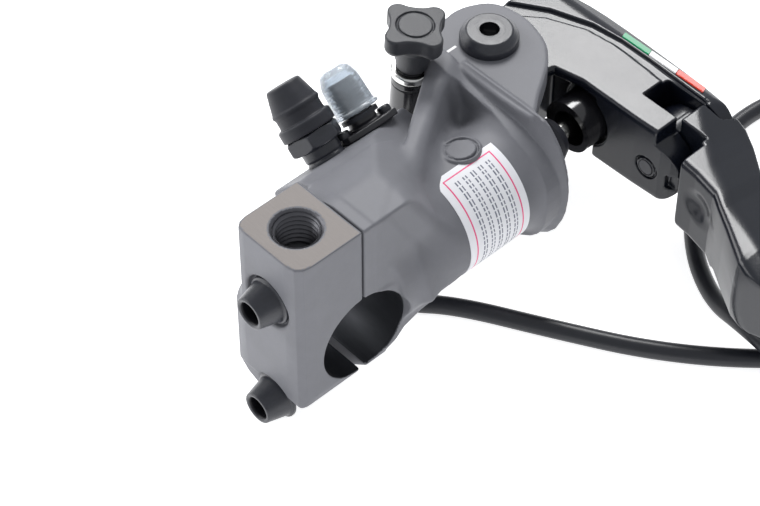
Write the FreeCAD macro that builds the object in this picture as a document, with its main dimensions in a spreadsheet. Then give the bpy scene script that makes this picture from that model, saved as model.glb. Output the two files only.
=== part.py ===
"""Radial brake master cylinder with a folding lever, for the right end of a 22.2 mm handlebar.

Origin: centre of the handlebar clamp bore. +X outboard along the bar, +Y forward along the
piston bore, +Z up along the lever pivot. Millimetres.
"""
import FreeCAD, Part
import math
import os
import Sketcher
from FreeCAD import Placement, Rotation, Vector

doc = FreeCAD.newDocument("brake_master_cylinder")
sizes = doc.addObject("Spreadsheet::Sheet", "Sizes")

DIMENSIONS = {
    # handlebar clamp
    "bar_bore_radius": 11.1, "clamp_half_width": 10, "clamp_top": 31.5, "clamp_lug_centre": -10,
    "clamp_gap_top": 0.15, "clamp_gap_bottom": 0.75, "clamp_screw_height": 15.5,
    "clamp_screw_radius": 2.95, "clamp_head_radius": 5.25, "clamp_head_length": 6.4,
    "mirror_hole_back": -9, "mirror_hole_radius": 5, "mirror_hole_depth": 10,
    # hydraulic body
    "bore_height": 5.3, "piston_bore_radius": 7.5, "barrel_radius": 13, "barrel_back": 9,
    "bore_closed_end": 14, "fork_back": 50, "fork_front": 55, "fork_inner_edge": -24,
    "fork_half_width": 14.2, "port_forward": 21, "port_radius": 4.95, "port_depth": 10,
    # fork ears and lever pivot
    "ear_top": 22.5, "ear_thick": 6.5, "ear_bottom": -11.9, "ear_radius": 11.3,
    "pivot_across": -19, "pivot_forward": 64, "pivot_radius": 4, "pivot_head_radius": 6.6,
    # sloping ledge with the bleed screw and the reservoir nipple
    "ledge_across": -17.6, "ledge_height": 20.8, "ledge_tilt": 48.7, "ledge_half_width": 6.5,
    "bleed_forward": 15, "nipple_forward": 27,
    # lever
    "lever_bottom": -5, "lever_top": 15.6, "rider_face": 75.1, "front_face": 95.8,
    "hub_radius": 8.5, "drum_radius": 6.4, "fold_across": 19, "fold_height": 3.5,
    "fold_pin_radius": 1.8, "slot_back": 82, "slot_front": 90, "slot_start": 10.4,
    "knuckle_radius": 8.1, "cheek_radius": 8.6, "front_cheek_radius": 12.3,
    "tip_across": 160, "tip_forward": 60, "tip_radius": 8,
    # dead-stroke selector on the lever tail
    "tube_foot_across": -26.6, "tube_foot_forward": 45.6, "selector_across": -24.8,
    "selector_forward": 47.2, "selector_top": 34, "tube_radius": 4.3, "ring_radius": 4.6,
    # piston train
    "pushrod_heel": 51.5, "pushrod_tip": 78,
    # brake light switch and its cable
    "cable_radius": 2.1, "cable_rest": -19, "switch_back": 41,
}


class Size:
    """A number together with the sheet expression that gives it."""

    def __init__(self, value, text):
        self.value = float(value)
        self.text = text

    def __float__(self):
        return self.value

    def combine(self, other, sign, value):
        text = other.text if isinstance(other, Size) else repr(float(other))
        return Size(value, f"({self.text} {sign} {text})")

    def __add__(self, other):
        return self.combine(other, "+", self.value + float(other))

    def __sub__(self, other):
        return self.combine(other, "-", self.value - float(other))

    def __mul__(self, other):
        return self.combine(other, "*", self.value * float(other))

    def __neg__(self):
        return self * -1


def fill_sheet():
    """Writes the driving dimensions to the sheet and returns them as Size values by name."""
    found = {}
    for row, (alias, value) in enumerate(DIMENSIONS.items(), start=1):
        sizes.set(f"A{row}", alias.replace("_", " "))
        sizes.set(f"B{row}", str(value))
        sizes.setAlias(f"B{row}", alias)
        found[alias] = Size(value, f"{sizes.Name}.{alias}")
    doc.recompute()
    return found


S = fill_sheet()
X_AXIS, Y_AXIS, Z_AXIS = Vector(1, 0, 0), Vector(0, 1, 0), Vector(0, 0, 1)
NODES = []


def bind(thing, prop, value):
    """Sets a property, through the sheet when the value comes from there."""
    if isinstance(value, Size):
        thing.setExpression(prop, value.text)
    else:
        setattr(thing, prop, float(value))


def gap(start, end):
    """The distance from start to end, tied to the sheet when either comes from there."""
    if isinstance(end, Size):
        return end - start
    if isinstance(start, Size):
        return -(start - end)
    return end - start


def place(thing, at, axis=Z_AXIS):
    """Stands a primitive's own Z axis along the given axis, with its foot at the given point."""
    foot = Vector(*(float(c) for c in at))
    thing.Placement = Placement(foot, Rotation(Z_AXIS, Vector(axis)))
    for name, value in zip("xyz", at):
        if isinstance(value, Size):
            thing.setExpression(f".Placement.Base.{name}", value.text)
    return thing


def cylinder(name, radius, length, at, axis=Z_AXIS):
    made = doc.addObject("Part::Cylinder", name)
    bind(made, "Radius", radius)
    bind(made, "Height", length)
    return place(made, at, axis)


def cone(name, foot_radius, end_radius, length, at, axis=Z_AXIS):
    made = doc.addObject("Part::Cone", name)
    bind(made, "Radius1", foot_radius)
    bind(made, "Radius2", end_radius)
    bind(made, "Height", length)
    return place(made, at, axis)


def hexagon(name, across_flats, length, at, axis=Z_AXIS):
    made = doc.addObject("Part::Prism", name)
    made.Polygon = 6
    made.Circumradius = across_flats / math.sqrt(3)
    bind(made, "Height", length)
    return place(made, at, axis)


def ball(name, radius, at):
    made = doc.addObject("Part::Sphere", name)
    bind(made, "Radius", radius)
    return place(made, at)


def box(name, low, high):
    """A box between two corners."""
    made = doc.addObject("Part::Box", name)
    for prop, a, b in zip(("Length", "Width", "Height"), low, high):
        bind(made, prop, gap(a, b))
    return place(made, low)


def fuse(name, *parts):
    made = doc.addObject("Part::MultiFuse", name)
    made.Shapes = list(parts)
    return made


def cut(name, base, *tools):
    made = doc.addObject("Part::Cut", name)
    made.Base = base
    made.Tool = tools[0] if len(tools) == 1 else fuse(name + "_tools", *tools)
    return made


def common(name, *parts):
    made = doc.addObject("Part::MultiCommon", name)
    made.Shapes = list(parts)
    return made


def node(label, thing):
    """Names a finished piece; its label is its file's name."""
    thing.Label = label
    NODES.append(thing)
    return thing


def draw_polygon(sketch, points):
    """Draws a closed outline whose corners are held from the sketch origin."""
    count = len(points)
    corners = [Vector(float(a), float(b), 0) for a, b in points]
    for i in range(count):
        sketch.addGeometry(Part.LineSegment(corners[i], corners[(i + 1) % count]), False)
    for i in range(count):
        sketch.addConstraint(Sketcher.Constraint("Coincident", i, 2, (i + 1) % count, 1))
    for i, point in enumerate(points):
        for kind, axis, value in (("DistanceX", -2, point[0]), ("DistanceY", -1, point[1])):
            if abs(float(value)) < 1e-6:
                sketch.addConstraint(Sketcher.Constraint("PointOnObject", i, 1, axis))
                continue
            index = sketch.addConstraint(Sketcher.Constraint(kind, -1, 1, i, 1, float(value)))
            if isinstance(value, Size):
                sketch.setExpression(f"Constraints[{index}]", value.text)


SKETCH_TURNS = {
    "X": Rotation(Y_AXIS, Z_AXIS, X_AXIS, "XYZ"),
    "Y": Rotation(X_AXIS, Z_AXIS, Vector(0, -1, 0), "XYZ"),
    "Z": Rotation(),
}
DIRECTIONS = {"X": X_AXIS, "Y": Y_AXIS, "Z": Z_AXIS}


def prism(name, axis, start, end, points):
    """Extrudes an outline along a row axis: (y, z) points along X, (x, z) along Y, (x, y) along Z."""
    sketch = doc.addObject("Sketcher::SketchObject", name + "_outline")
    sketch.Placement = Placement(DIRECTIONS[axis] * float(start), SKETCH_TURNS[axis])
    if isinstance(start, Size):
        sketch.setExpression(f".Placement.Base.{axis.lower()}", start.text)
    draw_polygon(sketch, points)
    made = doc.addObject("Part::Extrusion", name)
    made.Base = sketch
    made.DirMode = "Custom"
    made.Dir = DIRECTIONS[axis]
    made.Solid = True
    bind(made, "LengthFwd", gap(start, end))
    return made


def turned(name, profile, at, axis=Z_AXIS):
    """A turned piece: a body with a revolved (radius, height) profile, stood on the given axis."""
    body = doc.addObject("PartDesign::Body", name)
    sketch = body.newObject("Sketcher::SketchObject", name + "_profile")
    plane = [f for f in body.Origin.OriginFeatures if f.Role == "XZ_Plane"][0]
    sketch.AttachmentSupport = (plane, [""])
    sketch.MapMode = "FlatFace"
    draw_polygon(sketch, profile)
    spin = body.newObject("PartDesign::Revolution", name + "_revolution")
    spin.Profile = sketch
    spin.ReferenceAxis = (sketch, ["V_Axis"])
    spin.Angle = 360
    body.Tip = spin
    return place(body, at, axis)


def solid(name, shape):
    """A piece made straight from a computed shape."""
    made = doc.addObject("Part::Feature", name)
    made.Shape = shape
    return made


# ---------------------------------------------------------------- places worked out from the sizes
TILT = math.radians(float(S["ledge_tilt"]))
LEDGE_OUT = Vector(-math.sin(TILT), 0, math.cos(TILT))
LEDGE_UP = Vector(math.cos(TILT), 0, math.sin(TILT))
LEDGE = Vector(float(S["ledge_across"]), 0, float(S["ledge_height"]))
TUBE_FOOT = Vector(float(S["tube_foot_across"]), float(S["tube_foot_forward"]), -9.6)
TUBE_HEAD = Vector(float(S["selector_across"]), float(S["selector_forward"]), float(S["selector_top"]))
TUBE_AXIS = (TUBE_HEAD - TUBE_FOOT).normalize()
BORE = float(S["bore_height"])
CREST = Vector(1.5, 20.7, 27)
CREST_OUT = Vector(0.765, 0.554, 0.30).normalize()


def on_ledge(forward, out=0.0):
    """A point on the sloping ledge, or out from it along its normal."""
    spot = LEDGE + LEDGE_OUT * out
    return (spot.x, float(forward), spot.z)


def on_tube(height):
    """The point of the selector axis at a height."""
    return TUBE_FOOT + TUBE_AXIS * ((height - TUBE_FOOT.z) / TUBE_AXIS.z)


def through_bore(name, radius, start, end):
    """A cylinder on the piston axis."""
    return cylinder(name, radius, end - start, (0, start, S["bore_height"]), Y_AXIS)


# ---------------------------------------------------------------- castings
def clamp_block(name, outline):
    """A block as wide as the clamp, its lower end rounded about the lower screw."""
    half = S["clamp_half_width"]
    block = prism(name + "_block", "X", -half, half, outline)
    tall = box(name + "_tall", (-12, -30, S["clamp_lug_centre"]), (12, 60, 40))
    lug = cylinder(name + "_lug", half, 90, (0, -30, S["clamp_lug_centre"]), Y_AXIS)
    return common(name, block, fuse(name + "_bounds", tall, lug))


def make_body():
    top = S["clamp_top"]
    block = clamp_block("body_clamp", [
        (S["clamp_gap_top"], top), (12.8, top), (26, 18), (26, -5), (17, -5.4), (11.7, -7),
        (8, -12), (5.5, -20), (S["clamp_gap_bottom"], -20), (S["clamp_gap_bottom"], -5),
        (S["clamp_gap_top"], 5)])
    barrel = through_bore("barrel", S["barrel_radius"], float(S["barrel_back"]), 52)
    upper = LEDGE + LEDGE_UP * float(S["ledge_half_width"])
    lower = LEDGE - LEDGE_UP * float(S["ledge_half_width"])
    ledge = prism("ledge", "Y", 3, 39, [
        (upper.x, upper.z), (lower.x, lower.z), (-17, 8), (-9, -3), (5, 0), (9, 16), (0, 24)])
    crest = doc.addObject("Part::Box", "crest_slope")
    crest.Length, crest.Width, crest.Height = 90, 90, 40
    along = Vector(-0.586, 0.8, -0.13).normalize()
    across = CREST_OUT.cross(along)
    crest.Placement = Placement(CREST - along * 45 - across * 45,
                                Rotation(along, across, CREST_OUT, "XYZ"))
    roof = prism("roof", "Y", 3, 22, [(upper.x, upper.z), (-9.9, 20), (8, 12), (9.9, 30), (0, top)])
    rib = prism("rib", "Z", 0, 22, [(-16, 30), (4, 20), (4, 51), (-20, 51)])
    shoulder = cut("shoulder", fuse("shoulder_stack", ledge, rib), crest)
    back, front, half = S["fork_back"], S["fork_front"], S["fork_half_width"]
    wall = prism("fork_wall", "Y", back, front, [
        (S["fork_inner_edge"], S["ear_bottom"]), (6.5, S["ear_bottom"]), (11, -8), (half, 1),
        (half, 9.6), (11, 18.5), (6.5, S["ear_top"]), (S["fork_inner_edge"], S["ear_top"])])
    ear_outline = [(S["fork_inner_edge"], back + 2), (6, back + 2), (3, 56.6), (-2, 64), (-8.5, 69),
                   (-14, 74), (-24, 74), (-30, 66)]
    ears = []
    for side, low in (("upper", S["ear_top"] - S["ear_thick"]), ("lower", S["ear_bottom"])):
        high = low + S["ear_thick"]
        plate = prism(f"{side}_ear_plate", "Z", low, high, ear_outline)
        eye = cylinder(f"{side}_ear_eye", S["ear_radius"], S["ear_thick"],
                       (S["pivot_across"], S["pivot_forward"], low))
        ears += [plate, eye]
    pad = box("switch_pad", (-14, 41.5, -12.6), (-4, 49.5, -2))
    port = cylinder("port_boss", 8, 14, (-19, S["port_forward"], 1), X_AXIS)
    whole = fuse("body_solid", block, barrel, shoulder, roof, wall, pad, port, *ears)

    pivot = (S["pivot_across"], S["pivot_forward"], -20)
    relief = S["bar_bore_radius"] + 1.2
    cuts = [
        cylinder("bar_bore_in_body", S["bar_bore_radius"], 40, (-20, 0, 0), X_AXIS),
        cylinder("bar_relief_outboard", relief, 20, (S["clamp_half_width"], 0, 0), X_AXIS),
        cylinder("bar_relief_inboard", relief, 20, (-S["clamp_half_width"], 0, 0), -X_AXIS),
        cylinder("selector_clearance", S["ring_radius"] + 0.5, 60, tuple(on_tube(-12)), TUBE_AXIS),
        through_bore("piston_bore", S["piston_bore_radius"], float(S["bore_closed_end"]), 60),
        through_bore("circlip_groove", S["piston_bore_radius"] + 0.7, 52.6, 53.9),
        box("tail_window", (-40, 39.2, -5.6), (-17.2, 56, 16.1)),
        cylinder("pivot_hole", S["pivot_radius"] + 0.05, 60, pivot),
        cylinder("port_hole", S["port_radius"], S["port_depth"], (-19.5, S["port_forward"], 1), X_AXIS),
        cylinder("port_drilling", 1.5, 12, (-12, S["port_forward"], 1), X_AXIS),
        cylinder("bleed_hole", 3.95, 9, on_ledge(S["bleed_forward"], -8.5), LEDGE_OUT),
        cylinder("bleed_drilling", 1.2, 12, on_ledge(S["bleed_forward"], -18), LEDGE_OUT),
        cylinder("feed_hole", 2.2, 18, on_ledge(S["nipple_forward"], -17), LEDGE_OUT)]
    for level in (1, -1):
        cuts.append(cylinder(f"clamp_thread_{level + 1}", S["clamp_screw_radius"] + 0.05, 13,
                             (0, -0.5, S["clamp_screw_height"] * level), Y_AXIS))
    node("body", cut("body_casting", whole, *cuts))


def make_clamp_cap():
    block = clamp_block("cap_clamp", [
        (-S["clamp_gap_top"], S["clamp_top"]), (-17.5, S["clamp_top"]), (-17.5, -4), (-17, -12),
        (-14.6, -20), (-S["clamp_gap_bottom"], -20), (-S["clamp_gap_bottom"], -5),
        (-S["clamp_gap_top"], 5)])
    mirror = (0, S["mirror_hole_back"], S["clamp_top"] - S["mirror_hole_depth"])
    cuts = [
        cylinder("bar_bore_in_cap", S["bar_bore_radius"], 40, (-20, 0, 0), X_AXIS),
        cylinder("mirror_hole", S["mirror_hole_radius"], 20, mirror),
        cylinder("upper_screw_seat", 6.2, 8, (0, -24, S["clamp_screw_height"]), Y_AXIS),
        cylinder("lower_screw_seat", 6.2, 8, (0, -23.2, -S["clamp_screw_height"]), Y_AXIS)]
    for level in (1, -1):
        cuts.append(cylinder(f"cap_screw_hole_{level + 1}", S["clamp_screw_radius"] + 0.1, 30,
                             (0, -28, S["clamp_screw_height"] * level), Y_AXIS))
    node("clamp_cap", cut("cap_casting", block, *cuts))


def make_clamp_screws():
    made = []
    for level, seat in ((1, -16.05), (-1, -15.25)):
        at = (0, seat, S["clamp_screw_height"] * level)
        head = cone(f"screw_head_{level + 1}", S["clamp_head_radius"], 3.6, S["clamp_head_length"],
                    at, -Y_AXIS)
        shank = cylinder(f"screw_shank_{level + 1}", S["clamp_screw_radius"], 12 - seat, at, Y_AXIS)
        socket = hexagon(f"screw_socket_{level + 1}", 5, 3.5,
                         (0, seat - float(S["clamp_head_length"]) - 0.1, at[2]), Y_AXIS)
        made.append(cut(f"clamp_screw_{level + 1}", fuse(f"screw_solid_{level + 1}", head, shank), socket))
    node("clamp_screws", fuse("clamp_screw_pair", *made))


# ---------------------------------------------------------------- bleed screw and reservoir nipple
def make_bleed_screw():
    at = on_ledge(S["bleed_forward"])
    neck = turned("bleed_neck", [(0, -8), (3.9, -8), (3.9, 0.05), (4.3, 0.05), (4.3, 3.3), (0, 3.3)],
                  at, LEDGE_OUT)
    hexed = hexagon("bleed_hexagon", 11, 3.6, on_ledge(S["bleed_forward"], 3.3), LEDGE_OUT)
    tail = turned("bleed_tail", [(0, 6.9), (2.8, 6.9), (2.8, 10), (2.3, 10.6), (2.9, 12.4),
                                 (2.3, 14.6), (0, 14.6)], at, LEDGE_OUT)
    drilling = cylinder("bleed_passage", 0.9, 24, on_ledge(S["bleed_forward"], -5), LEDGE_OUT)
    node("bleed_screw", cut("bleed_screw_solid", fuse("bleed_stack", neck, hexed, tail), drilling))


def make_bleed_cap():
    node("bleed_cap", turned("bleed_cap_rubber", [
        (3.1, 7.05), (6.1, 7.05), (6.1, 9.9), (5.1, 10.2), (5.1, 11.3), (5.5, 12.0), (5.3, 12.9),
        (3.9, 18.3), (0, 18.3), (0, 15.2), (3.1, 15.2)],
        on_ledge(S["bleed_forward"]), LEDGE_OUT))


def make_reservoir_nipple():
    at = on_ledge(S["nipple_forward"])
    stem = turned("nipple_stem", [(0, -4), (2.1, -4), (2.1, 0.1), (4.1, 0.1), (4.1, 1.9), (3.3, 2.9),
                                  (3.3, 9.5), (3.6, 10.4), (2.9, 12.6), (0, 12.6)], at, LEDGE_OUT)
    flange = doc.addObject("Part::Box", "nipple_flange")
    flange.Length = 8.4
    flange.Width = 14.8
    flange.Height = 1.5
    corner = Vector(*at) - LEDGE_UP * 4.2 - Y_AXIS * 7.4 + LEDGE_OUT * 0.1
    flange.Placement = Placement(corner, Rotation(LEDGE_UP, Y_AXIS, LEDGE_OUT, "XYZ"))
    passage = cylinder("nipple_passage", 1.6, 24, on_ledge(S["nipple_forward"], -5), LEDGE_OUT)
    node("reservoir_nipple", cut("nipple_solid", fuse("nipple_stack", stem, flange), passage))
    node("nipple_seal", turned("nipple_seal_ring", [(3.35, 3.4), (4.3, 3.4), (4.3, 4.4), (3.35, 4.4)],
                               at, LEDGE_OUT))


def make_nipple_screws():
    made = []
    for i, offset in enumerate((-5.8, 5.8)):
        at = on_ledge(S["nipple_forward"] + offset, 1.62)
        head = turned(f"nipple_screw_{i}", [(0, 0), (1.5, 0), (1.5, 0.8), (1.1, 1.2), (0, 1.2)],
                      at, LEDGE_OUT)
        made.append(head)
    node("nipple_screws", fuse("nipple_screw_pair", *made))


def make_nipple_cap():
    node("nipple_cap", turned("nipple_dust_cap", [
        (3.75, 5.0), (5.15, 5.0), (5.15, 6.0), (4.6, 6.4), (4.5, 11.5), (3.4, 14.6), (1.5, 15.9),
        (0, 16.2), (0, 13.4), (3.75, 12.9)], on_ledge(S["nipple_forward"]), LEDGE_OUT))


# ---------------------------------------------------------------- pivot
def make_pivot():
    across, forward = S["pivot_across"], S["pivot_forward"]
    top = S["ear_top"]
    head = turned("pivot_head", [(0, 0.05), (S["pivot_head_radius"], 0.05),
                                 (S["pivot_head_radius"], 1.5), (5.1, 3.4), (0, 3.4)],
                  (across, forward, top))
    shank = cylinder("pivot_shank", S["pivot_radius"], top - S["ear_bottom"] + 5,
                     (across, forward, S["ear_bottom"] - 4.8))
    socket = hexagon("pivot_socket", 5, 6, (across, forward, top + 0.8))
    node("pivot_bolt", cut("pivot_bolt_solid", fuse("pivot_stack", head, shank), socket))
    nut = hexagon("pivot_nut_hex", 12, 4, (across, forward, S["ear_bottom"] - 4.1))
    hole = cylinder("pivot_nut_hole", S["pivot_radius"] + 0.03, 8, (across, forward, -20))
    node("pivot_nut", cut("pivot_nut_solid", nut, hole))
    node("pivot_bush", turned("pivot_bush_bronze", [
        (S["pivot_radius"] + 0.05, S["lever_bottom"]), (5.4, S["lever_bottom"]),
        (5.4, S["lever_top"]), (S["pivot_radius"] + 0.05, S["lever_top"])],
        (across, forward, 0)))
    washers = []
    for i, low in enumerate((-5.36, 15.64)):
        washers.append(turned(f"pivot_washer_{i}", [
            (S["pivot_radius"] + 0.1, low), (7.5, low), (7.5, low + 0.32),
            (S["pivot_radius"] + 0.1, low + 0.32)], (across, forward, 0)))
    node("pivot_washers", fuse("pivot_washer_pair", *washers))


# ---------------------------------------------------------------- piston train
def turned_on_bore(name, profile):
    """A turned piece on the piston axis: heights are distances forward of the bar."""
    return turned(name, profile, (0, 0, S["bore_height"]), Y_AXIS)


def make_piston():
    bore = S["piston_bore_radius"]
    slim = bore - 0.06
    node("piston", turned_on_bore("piston_solid", [
        (0, 33), (4.0, 33), (4.0, 34), (slim, 34), (slim, 35), (5.2, 35), (5.2, 37.6), (slim, 37.6),
        (slim, 38.8), (4.2, 40), (4.2, 45), (slim, 46), (slim, 47), (5.2, 47), (5.2, 49.4), (slim, 49.4),
        (slim, 52.2), (4.6, 52.2), (3.7, 50.2), (2.5, 48.6), (0, 48)]))
    for label, low in (("primary_seal", 35.1), ("secondary_seal", 47.1)):
        node(label, turned_on_bore(label + "_ring", [
            (5.25, low), (slim, low), (slim, low + 2.2), (5.25, low + 2.2)]))


def make_return_spring():
    """A compression spring between the closed end of the bore and the piston, as one coiled wire."""
    wire, coil, length, turns, steps = 0.6, 5.6, 18.4, 6, 96
    rise = length - 2 * wire
    points = []
    for i in range(steps + 1):
        angle = 2 * math.pi * turns * i / steps
        points.append(Vector(coil * math.cos(angle), coil * math.sin(angle), rise * i / steps))
    line = Part.BSplineCurve()
    line.interpolate(points)
    start = line.tangent(line.FirstParameter)[0]
    profile = Part.Wire([Part.makeCircle(wire, points[0], start)])
    spring = Part.Wire([line.toShape()]).makePipeShell([profile], True, True)
    made = solid("return_spring_wire", spring)
    made.Placement = Placement(Vector(0, float(S["bore_closed_end"]) + 0.1 + wire, BORE),
                               Rotation(Z_AXIS, Y_AXIS))
    node("return_spring", made)


def make_bore_end():
    ring = turned_on_bore("circlip_ring", [(6.3, 52.75), (8.15, 52.75), (8.15, 53.75), (6.3, 53.75)])
    opening = box("circlip_opening", (-3, 52, -9), (3, 55, 1))
    node("circlip", cut("circlip_solid", ring, opening))
    node("pushrod_boot", turned_on_bore("boot_rubber", [
        (3.1, 66), (4.6, 66), (5.6, 64), (4.6, 62), (6.2, 60), (5.0, 58), (6.9, 56.5), (6.9, 55.1),
        (6.1, 55.1), (6.1, 56), (4.2, 58), (5.4, 60), (3.8, 62), (4.8, 64), (3.1, 65)]))


def make_pushrod():
    heel, tip = float(S["pushrod_heel"]), float(S["pushrod_tip"])
    rod = turned_on_bore("pushrod_rod", [
        (0, heel), (2.0, heel), (2.0, heel + 1.6), (2.4, heel + 2), (2.4, heel + 8),
        (2.9, heel + 8), (2.9, heel + 11.5), (2.2, heel + 12), (2.2, tip - 3), (2.6, tip - 2),
        (2.6, tip), (1.7, tip + 1.5), (0, tip + 2)])
    heel_ball = ball("pushrod_ball", 2.4, (0, heel, S["bore_height"]))
    node("pushrod", fuse("pushrod_solid", rod, heel_ball))


# ---------------------------------------------------------------- lever arm
def make_lever_arm():
    low, high = S["lever_bottom"], S["lever_top"]
    rider, front = S["rider_face"], S["front_face"]
    across, forward = S["pivot_across"], S["pivot_forward"]
    arm = prism("arm_plate", "Z", low, high, [
        (-12, 61), (-8.5, 69), (-6.8, rider), (S["fold_across"] + 2.5, rider), (28, 79),
        (32, 88), (31.6, front - 3.4), (16, front - 0.7), (-4, front), (-16, front), (-24, 94), (-29.5, 88),
        (-31, 78), (-27.4, 64)])
    hub = cylinder("arm_hub", S["hub_radius"], high - low, (across, forward, low))
    tail = prism("arm_tail", "Z", low, 9, [
        (-12, 61), (-17.9, 55.6), (-18.4, 51), (-20.9, 45.5), (-23, 40.8), (-29.6, 40.6),
        (-32, 45), (-31.4, 50), (-27.4, 64)])
    slot = box("fold_slot", (S["slot_start"], S["slot_back"], -10), (40, S["slot_front"], 20))
    bevel = prism("front_bevel", "X", -40, 40, [(front - 4.4, high + 0.1), (front + 2, high + 0.1),
                                                (front + 2, high - 6.2)])
    keep = [cylinder("cheek_end", S["cheek_radius"], 38, (S["fold_across"], 50, S["fold_height"]), Y_AXIS),
            cylinder("front_cheek_end", S["front_cheek_radius"], 20,
                     (S["fold_across"], 88, S["fold_height"]), Y_AXIS),
            box("cheek_inner", (-60, 30, -20), (S["fold_across"] + 2, 120, 40))]
    drum_hole = cylinder("drum_hole", S["drum_radius"] + 0.05, 40, (0, 60, S["bore_height"]), Y_AXIS)
    bush_hole = cylinder("bush_hole", 5.42, 60, (across, forward, -20))
    tube_hole = cylinder("tube_hole", S["tube_radius"] + 0.02, 60, tuple(on_tube(-20)), TUBE_AXIS)
    pin_hole = cylinder("fold_pin_hole", S["fold_pin_radius"] + 0.02, 60,
                        (S["fold_across"], 60, S["fold_height"]), Y_AXIS)
    whole = common("arm_bounded", fuse("arm_stack", arm, hub, tail), fuse("arm_bounds", *keep))
    node("lever_arm", cut("lever_arm_solid", whole, slot, bevel, drum_hole, bush_hole, tube_hole,
                          pin_hole))


def make_ratio_drum():
    """The drum that carries the push rod a little off its centre, turned half round to change the ratio."""
    height = S["bore_height"]
    drum = cylinder("drum_solid", S["drum_radius"], float(S["front_face"]) - 71, (0, 70.2, height), Y_AXIS)
    recess = cylinder("drum_recess", 4.4, 11.6, (0.5, 69, height), Y_AXIS)
    slot = box("drum_slot", (-4.2, 93.4, BORE - 0.8), (4.2, 97, BORE + 0.8))
    node("ratio_drum", cut("ratio_drum_solid", drum, recess, slot))


def make_inlays():
    """Three thin coloured plates, end to end on the arm's sloping front edge."""
    high, front = float(S["lever_top"]), float(S["front_face"])
    across_slope = Vector(0, 6.4, -6.2).normalize()
    out = Vector(0, 6.2, 6.4).normalize()
    for i, colour in enumerate(("green", "white", "red")):
        plate = doc.addObject("Part::Box", f"inlay_{colour}_plate")
        plate.Length = 8.0
        plate.Width = 4.4
        plate.Height = 0.4
        corner = Vector(-5.0 + i * 8.1, front - 4.4, high + 0.1) + across_slope * 1.7 + out * 0.02
        plate.Placement = Placement(corner, Rotation(X_AXIS, across_slope, out, "XYZ"))
        node(f"inlay_{colour}", plate)


# ---------------------------------------------------------------- folding blade
def make_fold_pin():
    node("fold_pin", cylinder("fold_pin_rod", S["fold_pin_radius"], 17.5,
                              (S["fold_across"], S["rider_face"] + 0.1, S["fold_height"]), Y_AXIS))


def make_fold_spring():
    node("fold_spring", turned("fold_spring_coil", [(2.0, 0), (3.2, 0), (3.2, 1.5), (2.0, 1.5)],
                               (S["fold_across"], 88.3, S["fold_height"]), Y_AXIS))


def make_lever_blade():
    low, high = S["lever_bottom"] + 0.3, S["lever_top"] - 0.2
    across, height = S["fold_across"], S["fold_height"]
    root = prism("blade_root", "Z", low, high, [
        (29.6, 75.3), (41.3, 71.3), (57, 60.3), (70, 55), (70, 68.5), (58, 74.5), (41, 86.8),
        (34.5, 91.4), (25.8, 93.7), (25.8, 90.2), (29.6, 90.2)])
    tongue = prism("blade_tongue", "Z", low, high, [
        (21.6, 82.3), (30, 82.3), (30, 89.7), (21.6, 89.7)])
    knuckle = cylinder("blade_knuckle", S["knuckle_radius"], 7.4, (across, 82.3, height), Y_AXIS)
    web = box("blade_web", (across, 82.3, low), (30, 89.7, height + 6))
    grip_low, grip_high = 0.2, 11.4
    grip = prism("blade_grip", "Z", grip_low, grip_high, [
        (62, 57.5), (90, 54), (125, 53.4), (S["tip_across"], 55), (S["tip_across"], 65), (125, 64.4),
        (90, 65.4), (66, 70)])
    middle = BORE + 0.5
    flare = solid("blade_flare", Part.makeLoft([
        Part.makePolygon([Vector(69.9, 55, float(low)), Vector(69.9, 68.5, float(low)),
                          Vector(69.9, 68.5, float(high)), Vector(69.9, 55, float(high)),
                          Vector(69.9, 55, float(low))]),
        Part.makePolygon([Vector(92, 54.2, grip_low), Vector(92, 65.2, grip_low),
                          Vector(92, 65.2, grip_high), Vector(92, 54.2, grip_high),
                          Vector(92, 54.2, grip_low)])], True, True))
    tip = ball("blade_tip", S["tip_radius"], (S["tip_across"], S["tip_forward"], middle))
    clear = cylinder("cheek_clearance", S["front_cheek_radius"] + 0.5, 20, (across, 89.8, height), Y_AXIS)
    shoulders = cut("blade_shoulders", root, clear)
    pin = cylinder("blade_pin_hole", S["fold_pin_radius"] + 0.06, 60, (across, 60, height), Y_AXIS)
    pocket = cylinder("fold_spring_pocket", 3.5, 2.0, (across, 88.0, height), Y_AXIS)
    whole = fuse("blade_stack", shoulders, tongue, knuckle, web, grip, flare, tip)
    scoop = ball("blade_scoop", 9, (52, 50.5, 4))
    node("lever_blade", cut("lever_blade_solid", whole, pin, pocket, scoop))


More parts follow.
